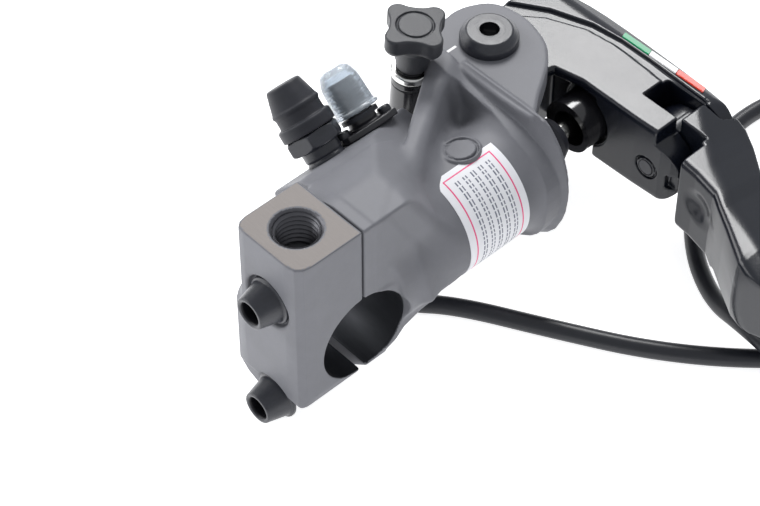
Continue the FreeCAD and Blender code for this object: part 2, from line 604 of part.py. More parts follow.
# ---------------------------------------------------------------- dead-stroke selector
def make_selector():
    foot, rim = on_tube(TUBE_FOOT.z), on_tube(21.6)
    reach = (rim - foot).Length
    tube = turned("selector_tube_shell", [
        (2.55, 0), (S["tube_radius"], 0), (S["tube_radius"], reach - 2.2), (2.55, reach - 2.2)],
        tuple(foot), TUBE_AXIS)
    node("selector_tube", tube)
    node("selector_ring", turned("selector_ring_steel", [
        (2.55, -2.1), (S["tube_radius"], -2.1), (S["ring_radius"], -1.5), (S["ring_radius"], -0.4),
        (3.9, 0), (2.55, 0)], tuple(rim), TUBE_AXIS))
    node("selector_shaft", turned("selector_shaft_steel", [
        (0, 0.4), (2.5, 0.4), (2.5, reach + 7.6), (0, reach + 7.6)], tuple(foot), TUBE_AXIS))
    hub_foot = on_tube(22.0)
    hub = cone("knob_hub", 3.3, 4.4, 7.0, tuple(hub_foot), TUBE_AXIS)
    disc_foot = on_tube(28.8)
    disc = cylinder("knob_disc", 5.6, 5.2, tuple(disc_foot), TUBE_AXIS)
    lobes = []
    for i in range(4):
        turn = math.radians(-2 + 90 * i)
        at = disc_foot + Vector(5.4 * math.cos(turn), 5.4 * math.sin(turn), 0)
        lobes.append(cylinder(f"knob_lobe_{i}", 2.2, 5.2, tuple(at), TUBE_AXIS))
    shaft_hole = cylinder("knob_hole", 2.53, 9.0, tuple(on_tube(20.5)), TUBE_AXIS)
    node("selector_knob", cut("selector_knob_solid", fuse("knob_stack", hub, disc, *lobes), shaft_hole))


# ---------------------------------------------------------------- brake light switch and cable
def make_switch():
    back = float(S["switch_back"])
    case = box("switch_case", (-21.2, back, -13.6), (-14.05, back + 8.3, -6.0))
    bore = cylinder("switch_bore", 1.25, 4, (-21.6, back + 5.5, -8.0), X_AXIS)
    exit_point, first = ROUTE[0], ROUTE[1]
    out = (first - exit_point).normalize()
    root = exit_point - out * 3.2
    socket = cylinder("gland_socket", 3.0, 3.2, tuple(root), out)
    node("switch_body", cut("switch_solid", case, bore, socket))
    node("switch_plunger", cylinder("switch_plunger_pin", 1.1, 3.4, (-22.0, back + 5.5, -8.0), X_AXIS))
    made = []
    for i, forward in enumerate((back + 4.2, back + 6.9)):
        at = (-21.25, forward, -12.0)
        head = cylinder(f"switch_screw_head_{i}", 1.3, 0.9, (at[0] - 0.9, forward, at[2]), X_AXIS)
        made.append(head)
    node("switch_screws", fuse("switch_screw_pair", *made))
    node("switch_gland", cone("switch_gland_rubber", 2.9, 2.35, 3.2, tuple(root), out))


REST = float(S["cable_rest"])
CROSSING = REST + 4.8
ROUTE = [Vector(*p) for p in (
    (-20.0, 38.6, -11.8), (-20.9, 34.2, -16.4), (-19.7, 28.6, REST), (-15.6, 23.9, REST),
    (-9.5, 21.8, REST), (-2.6, 23.2, REST), (5.8, 31.2, REST), (25.0, 41.8, REST),
    (44.0, 53.0, REST), (60.5, 67.0, REST), (75.0, 84.5, REST), (84.0, 104.0, REST),
    (85.5, 126.0, REST), (77.0, 146.0, REST), (60.0, 159.5, REST), (39.0, 161.0, REST),
    (21.0, 151.0, REST), (11.5, 134.0, REST), (9.5, 116.0, REST), (16.5, 97.0, REST),
    (29.5, 81.5, REST), (43.0, 73.4, REST), (54.5, 69.8, CROSSING), (68.0, 68.3, CROSSING),
    (80.0, 70.2, REST), (92.0, 75.5, REST))]


def tube_path(points):
    """Straight runs joined by tangent arcs, as large as the runs beside each corner allow."""
    edges, radii, start = [], [], points[0]
    for before, corner, after in zip(points, points[1:], points[2:]):
        along, away = corner - before, after - corner
        half = along.getAngle(away) / 2
        trim = 0.45 * min(along.Length, away.Length)
        radii.append(trim / math.tan(half))
        along.normalize()
        away.normalize()
        enter, leave = corner - along * trim, corner + away * trim
        inward = (away - along).normalize()
        centre = corner + inward * (radii[-1] / math.cos(half))
        middle = centre + (corner - centre).normalize() * radii[-1]
        edges += [Part.LineSegment(start, enter).toShape(), Part.Arc(enter, middle, leave).toShape()]
        start = leave
    edges.append(Part.LineSegment(start, points[-1]).toShape())
    return Part.Wire(edges), radii


def make_cable():
    path, radii = tube_path(ROUTE)
    radius = float(S["cable_radius"])
    ring = Part.makeCircle(radius, ROUTE[0], ROUTE[1] - ROUTE[0])
    tube = path.makePipeShell([Part.Wire([ring])], True, False)
    node("switch_cable", solid("switch_cable_tube", tube))
    print("cable radii", [round(r, 1) for r in radii])
    print("cable length", round(path.Length, 1), "volume ratio",
          round(tube.Volume / (math.pi * radius ** 2 * path.Length), 4))
    end, before = ROUTE[-1], ROUTE[-2]
    along = (end - before).normalize()
    side = Z_AXIS.cross(along)
    for label, name, size, start in (
            ("cable_connector", "connector_shell", (15, 8, 4.2), 0.02),
            ("connector_latch", "connector_latch_bar", (7, 3, 1.0), 4.0)):
        block = doc.addObject("Part::Box", name)
        block.Length, block.Width, block.Height = size
        lift = REST - radius if label == "cable_connector" else REST + 2.15
        corner = Vector(end.x, end.y, lift) + along * start - side * (size[1] / 2)
        block.Placement = Placement(corner, Rotation(along, side, Z_AXIS, "XYZ"))
        node(label, block)


def make_label():
    """A paper label round the barrel, printed side out."""
    inner, outer = float(S["barrel_radius"]) + 0.02, float(S["barrel_radius"]) + 0.17
    ring = [Part.makeCylinder(r, 17.4, Vector(0, 27.8, BORE), Y_AXIS) for r in (inner, outer)]
    sleeve = ring[1].cut(ring[0])
    reach = 30.0
    sector = Part.Face(Part.makePolygon([
        Vector(0, 27, BORE),
        *(Vector(reach * math.cos(math.radians(a)), 27, BORE + reach * math.sin(math.radians(a)))
          for a in (-50, -5, 40, 87)), Vector(0, 27, BORE)])).extrude(Vector(0, 22, 0))
    doc.recompute()
    bare = sleeve.common(sector).cut(doc.getObject("body_casting").Shape)
    node("label", solid("label_paper", max(bare.Solids, key=lambda piece: piece.Volume)))


def check_and_write():
    doc.recompute()
    for thing in doc.Objects:
        if any(word in thing.State for word in ("Invalid", "Error")):
            raise RuntimeError(f"{thing.Name} failed: {thing.State}")
    os.makedirs("parts", exist_ok=True)
    for piece in NODES:
        shape = piece.Shape
        if shape.isNull() or not shape.isValid() or shape.Volume <= 0:
            raise RuntimeError(f"{piece.Label} has no valid shape")
        shape.exportStep(os.path.join("parts", piece.Label + ".step"))
        print(f"{piece.Label}: {len(shape.Solids)} solids, {shape.Volume:.1f} mm3")


for make in (make_body, make_clamp_cap, make_clamp_screws, make_bleed_screw, make_bleed_cap,
             make_reservoir_nipple, make_nipple_screws, make_nipple_cap, make_pivot, make_piston,
             make_return_spring, make_bore_end, make_pushrod, make_lever_arm, make_ratio_drum,
             make_inlays, make_fold_pin, make_fold_spring, make_lever_blade, make_selector,
             make_switch, make_cable, make_label):
    make()
check_and_write()
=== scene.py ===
"""Looks of the brake master cylinder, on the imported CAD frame. Lengths in the code are millimetres."""
import itertools
import math
import bpy
import numpy as np
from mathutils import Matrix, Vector


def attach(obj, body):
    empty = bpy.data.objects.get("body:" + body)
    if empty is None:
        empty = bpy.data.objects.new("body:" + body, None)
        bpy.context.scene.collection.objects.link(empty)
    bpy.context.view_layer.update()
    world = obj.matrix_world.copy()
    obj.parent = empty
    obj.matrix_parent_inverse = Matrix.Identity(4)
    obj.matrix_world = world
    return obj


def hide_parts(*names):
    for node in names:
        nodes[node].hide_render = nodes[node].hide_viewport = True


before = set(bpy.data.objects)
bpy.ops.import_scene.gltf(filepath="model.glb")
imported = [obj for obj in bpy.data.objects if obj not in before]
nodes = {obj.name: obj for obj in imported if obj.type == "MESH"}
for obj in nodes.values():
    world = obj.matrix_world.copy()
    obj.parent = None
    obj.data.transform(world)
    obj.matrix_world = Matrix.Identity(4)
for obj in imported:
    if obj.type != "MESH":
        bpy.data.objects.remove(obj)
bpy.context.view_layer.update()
MM = 0.001
BORE = 5.3
TILT = math.radians(48.7)
LEDGE = np.array([-17.6, 0.0, 20.8])
LEDGE_OUT = np.array([-math.sin(TILT), 0.0, math.cos(TILT)])
LEDGE_UP = np.array([math.cos(TILT), 0.0, math.sin(TILT)])
Y_AXIS = np.array([0.0, 1.0, 0.0])
Z_AXIS = np.array([0.0, 0.0, 1.0])
TUBE_FOOT = np.array([-26.6, 45.6, -9.6])
TUBE_AXIS = np.array([1.8, 1.6, 43.6]) / np.linalg.norm([1.8, 1.6, 43.6])
FLOOR = -21.15


# ---------------------------------------------------------------- signed distances, in mm
def smin(a, b, k):
    """Union with a fillet."""
    h = np.maximum(k - np.abs(a - b), 0) / k
    return np.minimum(a, b) - h * h * k * 0.25


def smax(a, b, k):
    """Intersection with a rounded edge."""
    return -smin(-a, -b, k)


def meet(parts, k):
    out = parts[0]
    for part in parts[1:]:
        out = smax(out, part, k)
    return out


def join(parts, k):
    out = parts[0]
    for part in parts[1:]:
        out = smin(out, part, k)
    return out


def plane(p, at, normal):
    """Negative behind the plane."""
    n = np.array(normal, float)
    return (p - np.array(at, float)) @ (n / np.linalg.norm(n))


def face_through(p, a, b, c):
    """The plane through three points, facing the side from which they run anticlockwise."""
    a, b, c = (np.array(v, float) for v in (a, b, c))
    return plane(p, a, np.cross(b - a, c - a))


def slab(p, axis, low, high):
    v = p[:, axis]
    return np.maximum(low - v, v - high)


def outline(u, v, points):
    """Distance to a polygon, negative inside."""
    pts = np.array(points, float)
    best = np.full(u.shape, 1e9)
    inside = np.zeros(u.shape, bool)
    for (ax, ay), (bx, by) in zip(pts, np.roll(pts, -1, 0)):
        ex, ey = bx - ax, by - ay
        wx, wy = u - ax, v - ay
        t = np.clip((wx * ex + wy * ey) / (ex * ex + ey * ey + 1e-12), 0, 1)
        best = np.minimum(best, (wx - ex * t) ** 2 + (wy - ey * t) ** 2)
        crosses = (ay > v) != (by > v)
        side = (bx - ax) * (v - ay) / (by - ay if by != ay else 1e-12) + ax
        inside ^= crosses & (u < side)
    return np.where(inside, -1, 1) * np.sqrt(best)


def rounded(points, times=2):
    """Cuts a polygon's corners so that it runs smoothly."""
    pts = np.array(points, float)
    for _ in range(times):
        ahead = np.roll(pts, -1, 0)
        pts = np.stack([pts * 0.78 + ahead * 0.22, pts * 0.22 + ahead * 0.78], 1).reshape(-1, 2)
    return pts


def radial(p, at, axis):
    """Distance from an axis, and the height along it."""
    a = np.array(axis, float)
    a /= np.linalg.norm(a)
    w = p - np.array(at, float)
    h = w @ a
    return np.linalg.norm(w - h[:, None] * a, axis=1), h


def rod(p, at, axis, radius, low, high, k=0.5):
    r, h = radial(p, at, axis)
    return smax(r - radius, np.maximum(low - h, h - high), k)


def capsule(p, a, b, ra, rb):
    """A tapered round stroke between two points."""
    a, b = np.array(a, float), np.array(b, float)
    t = np.clip(((p - a) @ (b - a)) / ((b - a) @ (b - a)), 0, 1)
    return np.linalg.norm(p - a - t[:, None] * (b - a), axis=1) - (ra + (rb - ra) * t)


# ---------------------------------------------------------------- meshes
def new_mesh(name, verts, faces, smooth=True, normals=None):
    mesh = bpy.data.meshes.new(name)
    faces = np.asarray(faces)
    count, size = faces.shape
    mesh.vertices.add(len(verts))
    mesh.vertices.foreach_set("co", (np.asarray(verts) * MM).astype(np.float32).ravel())
    mesh.loops.add(count * size)
    mesh.loops.foreach_set("vertex_index", faces.astype(np.int32).ravel())
    mesh.polygons.add(count)
    mesh.polygons.foreach_set("loop_start", np.arange(0, count * size, size, dtype=np.int32))
    mesh.polygons.foreach_set("loop_total", np.full(count, size, np.int32))
    mesh.update(calc_edges=True)
    mesh.validate()
    mesh.polygons.foreach_set("use_smooth", np.full(len(mesh.polygons), smooth))
    if normals is not None:
        mesh.normals_split_custom_set_from_vertices(normals.tolist())
    thing = bpy.data.objects.new(name, mesh)
    bpy.context.scene.collection.objects.link(thing)
    return thing


CORNERS = np.array(list(itertools.product((0, 1), repeat=3)))
EDGES = [(a, b) for a in range(8) for b in range(a + 1, 8)
         if np.abs(CORNERS[a] - CORNERS[b]).sum() == 1]


def slope(field, p, h=0.03):
    out = np.empty_like(p)
    for axis in range(3):
        step = np.zeros(3)
        step[axis] = h
        out[:, axis] = (field(p + step) - field(p - step)) / (2 * h)
    return out


def sculpt(name, field, low, high, step):
    """Meshes the zero surface of a distance field on a grid, then slides each vertex onto it."""
    low, high = np.array(low, float), np.array(high, float)
    wide, per = step * 6, 6
    blocks = np.ceil((high - low) / wide).astype(int)
    grid = np.stack(np.meshgrid(*[np.arange(n) for n in blocks], indexing="ij"), -1)
    far = field(low + (grid.reshape(-1, 3) + 0.5) * wide).reshape(blocks)
    shape = blocks * per + 1
    home = [np.minimum(np.arange(n) // per, m - 1) for n, m in zip(shape, blocks)]
    spread = far[np.ix_(*home)]
    values = np.where(spread < 0, -9.0, 9.0)
    near = np.argwhere(np.abs(spread) < wide * 1.25)
    values[tuple(near.T)] = field(low + near * step)
    inside = values < 0
    count = sum(inside[tuple(slice(c, n - 1 + c) for c, n in zip(corner, shape))].astype(np.int8)
                for corner in CORNERS)
    cells = np.argwhere((count > 0) & (count < 8))
    at = [values[tuple((cells + corner).T)] for corner in CORNERS]
    total, hits = np.zeros((len(cells), 3)), np.zeros(len(cells))
    for a, b in EDGES:
        cross = (at[a] < 0) != (at[b] < 0)
        t = np.where(cross, at[a] / np.where(cross, at[a] - at[b], 1), 0)
        total += np.where(cross, 1, 0)[:, None] * (CORNERS[a] + t[:, None] * (CORNERS[b] - CORNERS[a]))
        hits += cross
    verts = low + (cells + total / hits[:, None]) * step
    index = np.full(shape - 1, -1)
    index[tuple(cells.T)] = np.arange(len(cells))
    quads = []
    for axis in range(3):
        u, v = (axis + 1) % 3, (axis + 2) % 3
        first = [slice(1, -1)] * 3
        first[axis] = slice(0, -1)
        second = list(first)
        second[axis] = slice(1, None)
        a, b = inside[tuple(first)], inside[tuple(second)]
        for sign in (True, False):
            spots = np.argwhere((a != b) & (a == sign))
            spots[:, u] += 1
            spots[:, v] += 1
            ring = []
            for du, dv in ((0, 0), (-1, 0), (-1, -1), (0, -1)):
                cell = spots.copy()
                cell[:, u] += du
                cell[:, v] += dv
                ring.append(index[tuple(cell.T)])
            quad = np.stack(ring if sign else ring[::-1], 1)
            quads.append(quad[(quad >= 0).all(1)])
    for _ in range(3):
        g = slope(field, verts)
        size = np.maximum((g * g).sum(1), 0.2)
        move = field(verts)[:, None] * g / size[:, None]
        verts = verts - np.clip(move, -step, step)
    g = slope(field, verts)
    g /= np.maximum(np.linalg.norm(g, axis=1), 1e-6)[:, None]
    return new_mesh(name, verts, np.concatenate(quads), True, g)


def turn(name, profile, at, axis, around=96, bumps=None):
    """A turned piece from (radius, height) points, on an axis; bumps(angle, height) adds to the radius."""
    a = np.array(axis, float)
    a /= np.linalg.norm(a)
    side = np.cross(a, [0.31, 0.87, 0.11])
    side /= np.linalg.norm(side)
    other = np.cross(a, side)
    angles = np.arange(around) * 2 * math.pi / around
    verts, faces = [], []
    for radius, height in profile:
        r = np.full(around, float(radius))
        if bumps is not None and radius > 0.01:
            r = r + bumps(angles, height, radius)
        ring = (np.cos(angles)[:, None] * side + np.sin(angles)[:, None] * other) * r[:, None]
        verts.append(np.array(at) + ring + a * height)
    for k in range(len(profile) - 1):
        for i in range(around):
            j = (i + 1) % around
            faces.append((k * around + i, k * around + j, (k + 1) * around + j, (k + 1) * around + i))
    return new_mesh(name, np.concatenate(verts), faces)


def edged(corners, cut=0.25):
    """A turned profile whose corners carry a small bevel, kept crisp by extra rings."""
    pts = [np.array(c, float) for c in corners]
    out = [pts[0]]
    for before, here, after in zip(pts, pts[1:], pts[2:]):
        a, b = before - here, after - here
        la, lb = np.linalg.norm(a), np.linalg.norm(b)
        c = min(cut, la * 0.45, lb * 0.45)
        p, q = here + a / la * c, here + b / lb * c
        out += [here + a / la * min(c * 1.6, la * 0.49), p, (p + q + 2 * here) / 4, q,
                here + b / lb * min(c * 1.6, lb * 0.49)]
    out.append(pts[-1])
    return out


def finish_piece(thing, body, material, *stands_for, slot=None):
    """Gives a piece its material and body, and hides the CAD nodes that it stands for."""
    if not isinstance(material, (list, tuple)):
        material = [material]
    for m in material:
        thing.data.materials.append(m)
    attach(thing, body)
    if stands_for:
        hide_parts(*stands_for)
    return thing


def tint(thing, rule):
    """Sets each face's material number from the rule, given face centres in mm and their normals."""
    mesh = thing.data
    centres = np.empty(len(mesh.polygons) * 3, np.float32)
    mesh.polygons.foreach_get("center", centres)
    normals = np.empty(len(mesh.polygons) * 3, np.float32)
    mesh.polygons.foreach_get("normal", normals)
    chosen = rule(centres.reshape(-1, 3) / MM, normals.reshape(-1, 3))
    mesh.polygons.foreach_set("material_index", chosen.astype(np.int32))


# ---------------------------------------------------------------- materials
def material(name, color, rough=0.4, metal=0.0, specular=0.5, grain=0.0, grain_size=0.3, blotch=0.0,
             blotch_size=9.0, rough_spread=0.05, coat=0.0, streak=None, see_through=0.0,
             subsurface=0.0, wear=None):
    """A procedural finish: fine grain in the surface, soft blotches in colour and gloss."""
    m = bpy.data.materials.new(name)
    m.use_nodes = True
    tree, links = m.node_tree, m.node_tree.links
    shader = tree.nodes["Principled BSDF"]
    shader.inputs["Metallic"].default_value = metal
    shader.inputs["Specular IOR Level"].default_value = specular
    shader.inputs["Coat Weight"].default_value = coat
    shader.inputs["Coat Roughness"].default_value = 0.12
    shader.inputs["Transmission Weight"].default_value = see_through
    if subsurface:
        shader.inputs["Subsurface Weight"].default_value = subsurface
        shader.inputs["Subsurface Scale"].default_value = 0.003
    spot = tree.nodes.new("ShaderNodeTexCoord")
    if streak:
        squash = tree.nodes.new("ShaderNodeMapping")
        squash.inputs["Scale"].default_value = streak
        links.new(spot.outputs["Object"], squash.inputs["Vector"])
        where = squash.outputs["Vector"]
    else:
        where = spot.outputs["Object"]
    cloud = tree.nodes.new("ShaderNodeTexNoise")
    cloud.inputs["Scale"].default_value = 1000.0 / blotch_size
    cloud.inputs["Detail"].default_value = 6
    cloud.inputs["Roughness"].default_value = 0.65
    links.new(where, cloud.inputs["Vector"])
    tone = tree.nodes.new("ShaderNodeValToRGB")
    low = [c * (1 - blotch) for c in color]
    high = [min(c * (1 + blotch), 1) for c in color]
    tone.color_ramp.elements[0].position = 0.3
    tone.color_ramp.elements[1].position = 0.7
    tone.color_ramp.elements[0].color = (*low, 1)
    tone.color_ramp.elements[1].color = (*high, 1)
    links.new(cloud.outputs["Fac"], tone.inputs["Fac"])
    links.new(tone.outputs["Color"], shader.inputs["Base Color"])
    if wear:
        edge = tree.nodes.new("ShaderNodeNewGeometry")
        ramp = tree.nodes.new("ShaderNodeValToRGB")
        ramp.color_ramp.elements[0].position = 0.52
        ramp.color_ramp.elements[1].position = 0.62
        mix = tree.nodes.new("ShaderNodeMix")
        mix.data_type = "RGBA"
        links.new(edge.outputs["Pointiness"], ramp.inputs["Fac"])
        links.new(ramp.outputs["Color"], mix.inputs["Factor"])
        links.new(tone.outputs["Color"], mix.inputs["A"])
        mix.inputs["B"].default_value = (*wear, 1)
        links.new(mix.outputs["Result"], shader.inputs["Base Color"])
    spread = tree.nodes.new("ShaderNodeMapRange")
    spread.inputs["To Min"].default_value = max(rough - rough_spread, 0.03)
    spread.inputs["To Max"].default_value = min(rough + rough_spread, 1)
    links.new(cloud.outputs["Fac"], spread.inputs["Value"])
    links.new(spread.outputs["Result"], shader.inputs["Roughness"])
    if grain:
        speck = tree.nodes.new("ShaderNodeTexNoise")
        speck.inputs["Scale"].default_value = 1000.0 / grain_size
        speck.inputs["Detail"].default_value = 3
        bump = tree.nodes.new("ShaderNodeBump")
        bump.inputs["Strength"].default_value = grain
        bump.inputs["Distance"].default_value = 0.00005
        links.new(where, speck.inputs["Vector"])
        links.new(speck.outputs["Fac"], bump.inputs["Height"])
        links.new(bump.outputs["Normal"], shader.inputs["Normal"])
    return m


grey = material("anodised_grey", (0.152, 0.154, 0.170), 0.52, 0.0, 0.4, 0.5, 0.22, 0.07, 7.0)
machined = material("machined_face", (0.190, 0.171, 0.161), 0.5, 0.1, 0.35, 0.35, 0.25, 0.06, 3.0,
                    streak=(1, 9, 1))
# Near-black on the walls of the clamp bore and piston bore is painted shade inside the holes, not the
# anodised metal's own colour.
bore_painted_shade = material("bore_painted_shade", (0.035, 0.037, 0.043), 0.33, 0.6, 0.5, 0.4, 0.4, 0.12, 5.0,
                     streak=(0.25, 2, 2))
# Dark metal for the mirror hole's wall, countersink and thread is painted shade inside the hole.
thread_painted_shade = material("thread_painted_shade", (0.09, 0.09, 0.1), 0.35, 0.7, 0.5, 0.3, 0.3, 0.1, 2.0)
gloss_black = material("lever_anodised", (0.005, 0.0065, 0.0115), 0.22, 0.0, 0.5, 0.25, 0.35, 0.12, 12.0,
                       rough_spread=0.04)
satin_black = material("satin_black", (0.013, 0.0135, 0.018), 0.42, 0.0, 0.5, 0.5, 0.25, 0.1, 6.0)
screw_black = material("black_oxide", (0.022, 0.0235, 0.031), 0.3, 0.0, 0.5, 0.7, 0.5, 0.15, 2.0,
                       streak=(4, 0.6, 4))
# Near-black in the hex sockets, darker than the screws' black oxide, is painted shade in the sockets.
socket_painted_shade = material("socket_painted_shade", (0.004, 0.004, 0.006), 0.45, 0.0, 0.3, 0.3, 0.4, 0.1)
steel = material("bright_steel", (0.62, 0.62, 0.60), 0.16, 1.0, 0.5, 0.25, 0.6, 0.05, 3.0,
                 rough_spread=0.04)
bronze = material("bronze", (0.50, 0.32, 0.15), 0.3, 1.0, 0.5, 0.3, 0.5, 0.08)
rubber = material("rubber", (0.018, 0.019, 0.025), 0.52, 0.0, 0.35, 0.7, 0.3, 0.15, 3.0, rough_spread=0.08)
plastic_black = material("moulded_black", (0.011, 0.011, 0.014), 0.36, 0.0, 0.5, 0.4, 0.35, 0.08, 3.0)
cap_clear = material("milky_cap", (0.74, 0.80, 0.86), 0.2, 0.0, 0.45, 0.25, 0.6, 0.05, 4.0,
                     see_through=0.8, subsurface=0.0)
tube_black = material("tube_gloss", (0.009, 0.009, 0.011), 0.14, 0.0, 0.7, 0.15, 0.5, 0.08)
knob_black = material("knob_satin", (0.028, 0.0295, 0.035), 0.42, 0.0, 0.4, 0.9, 0.25, 0.1, 3.0)
cable_black = material("cable_jacket", (0.011, 0.012, 0.017), 0.36, 0.0, 0.45, 0.3, 0.4, 0.1, 5.0)
paint_white = material("white_mark", (0.75, 0.75, 0.75), 0.4, 0.0, 0.4, 0.2, 0.3, 0.03)
inlay_green = material("inlay_green", (0.0, 0.30, 0.115), 0.2, 0.0, 0.5, 0.15, 0.5, 0.06, coat=0.6)
inlay_white = material("inlay_white", (0.80, 0.80, 0.80), 0.2, 0.0, 0.5, 0.15, 0.5, 0.03, coat=0.6)
inlay_red = material("inlay_red", (0.78, 0.045, 0.015), 0.2, 0.0, 0.5, 0.15, 0.5, 0.06, coat=0.6)
spring_steel = material("spring_steel", (0.4, 0.4, 0.4), 0.25, 1.0, 0.5, 0.3, 0.4, 0.08)


# ---------------------------------------------------------------- body casting
EAR = rounded([(-24.3, 53.0), (5.6, 53.0), (2.9, 56.6), (0.1, 60.2), (-2.6, 64.6), (-5.6, 69.0),
               (-10.3, 73.2), (-19, 75.6), (-27.6, 73.8), (-31.4, 66.5), (-30.4, 59.0)], 2)
FLANGE_OUTER = rounded([(-24, -11.9), (5.8, -12.3), (11.3, -8.5), (14.2, -1.5), (14.9, 5.5), (14.3, 11.4),
                        (12.4, 16.8), (8.6, 21.6), (6.2, 22.9), (-24, 22.9)], 1)
FLANGE_INNER = rounded([(-23, -11.4), (4.5, -11.6), (9.6, -8.0), (12.0, -2.0), (12.6, 4.8), (11.9, 10.4),
                        (9.2, 14.6), (1.3, 17.8), (-6.5, 20.4), (-17.8, 22.0), (-23, 22.4)], 1)


def barrel_pad(p):
    """A low round pad on the barrel, in front of the label."""
    pad = rod(p, (-2.1 * 13.6 / 13, 39.2, BORE + 13 * math.cos(0.162)),
              (-0.162, 0, 1), 4.4, -1.0, 0.45, 0.4)
    groove = np.abs(radial(p, (-2.1, 39.2, 18), (-0.162, 0, 1))[0] - 3.5) - 0.28
    return smax(pad, -groove, 0.25)


def body_field(p):
    x, y, z = p[:, 0], p[:, 1], p[:, 2]
    top = p[:, 2] - 31.35
    inboard = plane(p, (-0.2, 0, 31.4), (-0.400, 0, 0.9165))
    front = face_through(p, (0, 12.8, 31.4), (10, 12.6, 31.4), (1.5, 20.7, 27.2))
    crest_side = plane(p, (1.5, 20.7, 27), (0.765, 0.554, 0.30))
    brow = plane(p, (1.5, 20.7, 27), (0.42, 0.76, 0.46))
    ledge = plane(p, LEDGE, LEDGE_OUT)
    mass = meet([top, inboard, front, ledge], 0.7)
    mass = smax(mass, crest_side, 2.2)
    mass = smax(mass, slab(p, 0, -30, 10.05), 0.7)
    mass = smax(mass, slab(p, 1, 3.0, 40), 0.8)
    under = plane(p, (-17, 0, 9.0), (-0.8, 0, -0.6))
    mass = meet([mass, -(z + 0.0), under], 2.0)
    tall = meet([top, inboard, front, slab(p, 0, -9.6, 10.05), -(z - 4)], 0.7)
    tall = smax(tall, brow, 2.2)
    low_lug = outline(p[:, 0], p[:, 2], [(10.05, 10), (10.05, -9.0), (9.2, -11.8), (4.5, -15.7), (0, -19.2),
                                         (-4, -20.3), (-8, -18.6), (-10, -14), (-10, 10)])
    chin = outline(y, z, [(0.75, 12), (22, 12), (21, -4.8), (16.5, -5.4), (11.7, -7.0), (7.4, -11.0),
                          (6.6, -15.0), (6.0, -20.5), (0.75, -20.5)])
    block = smax(chin, low_lug, 0.8)
    barrel = rod(p, (0, 0, BORE), Y_AXIS, 13.0, 9.0, 53, 1.0)
    rib_top = face_through(p, (1.5, 20.7, 27.0), (-18, 47.6, 22.6), (-15, 39, 23.2))
    rib_left = plane(p, (-15.2, 39, 20), (-0.775, -0.60, -0.20))
    rib = smax(meet([rib_top, z - 24.6, slab(p, 1, 14, 53)], 1.0), crest_side, 2.2)
    rib = smax(rib, rib_left, 0.9)
    rib = smax(rib, -(z - 2), 2.0)
    upper = smin(smin(mass, rib, 1.2), tall, 0.6)
    t = np.clip((y - 52.3) / 2.5, 0, 1)
    flange_edge = (1 - t) * outline(x, z, FLANGE_INNER) + t * outline(x, z, FLANGE_OUTER)
    flange = smax(flange_edge * 0.8, slab(p, 1, 50.6, 55.6), 0.35)
    whole = smin(upper, barrel, 3.4)
    whole = smin(whole, smax(outline(x, z, FLANGE_INNER), slab(p, 1, 51.2, 53), 0.3), 5.5)
    whole = smin(whole, barrel_pad(p), 0.5)
    whole = smin(whole, block, 1.6)
    port = rod(p, (-19.3, 21, 1), (1, 0, 0), 8.0, 0, 14, 0.8)
    whole = smin(whole, port, 2.0)
    pad = meet([slab(p, 0, -14, -4), slab(p, 1, 41.5, 49.5), slab(p, 2, -12.6, -2)], 0.6)
    whole = smin(whole, pad, 0.8)
    whole = smin(whole, flange, 0.25)
    ear = outline(x, y, EAR)
    upper_ear = smax(ear, slab(p, 2, 16.0, 22.5), 0.9)
    lower_ear = smax(ear + 0.4, slab(p, 2, -11.9, -5.4), 0.9)
    whole = smin(whole, upper_ear, 0.6)
    whole = smin(whole, lower_ear, 0.8)
    whole = smax(whole, np.where(z > 4, 0.15, 0.75) - y, 0.35)
    holes = join([
        rod(p, (0, 0, 0), (1, 0, 0), 11.1, -30, 30, 0.4),
        rod(p, (0, 0, BORE), Y_AXIS, 7.5, 14, 80, 0.4),
        rod(p, (0, 0, BORE), Y_AXIS, 8.2, 52.6, 53.9, 0.1),
        meet([slab(p, 0, -60, -17.3), slab(p, 1, 39.4, 56.2), slab(p, 2, -5.4, 16.0)], 1.0),
        rod(p, (-19, 64, 0), Z_AXIS, 4.05, -30, 40, 0.2),
        smin(rod(p, (-21, 21, 1), (1, 0, 0), 4.95, 0, 11.5, 0.2),
             rod(p, (-21, 21, 1), (1, 0, 0), 5.9, 0, 2.3, 0.2), 0.2),
        rod(p, (-12, 21, 1), (1, 0, 0), 1.5, -2, 10, 0.1),
        rod(p, LEDGE + Y_AXIS * 15, LEDGE_OUT, 3.95, -8.5, 3, 0.2),
        rod(p, LEDGE + Y_AXIS * 27, LEDGE_OUT, 2.2, -17, 3, 0.1)], 0.05)
    return smax(whole, -holes, 0.5)


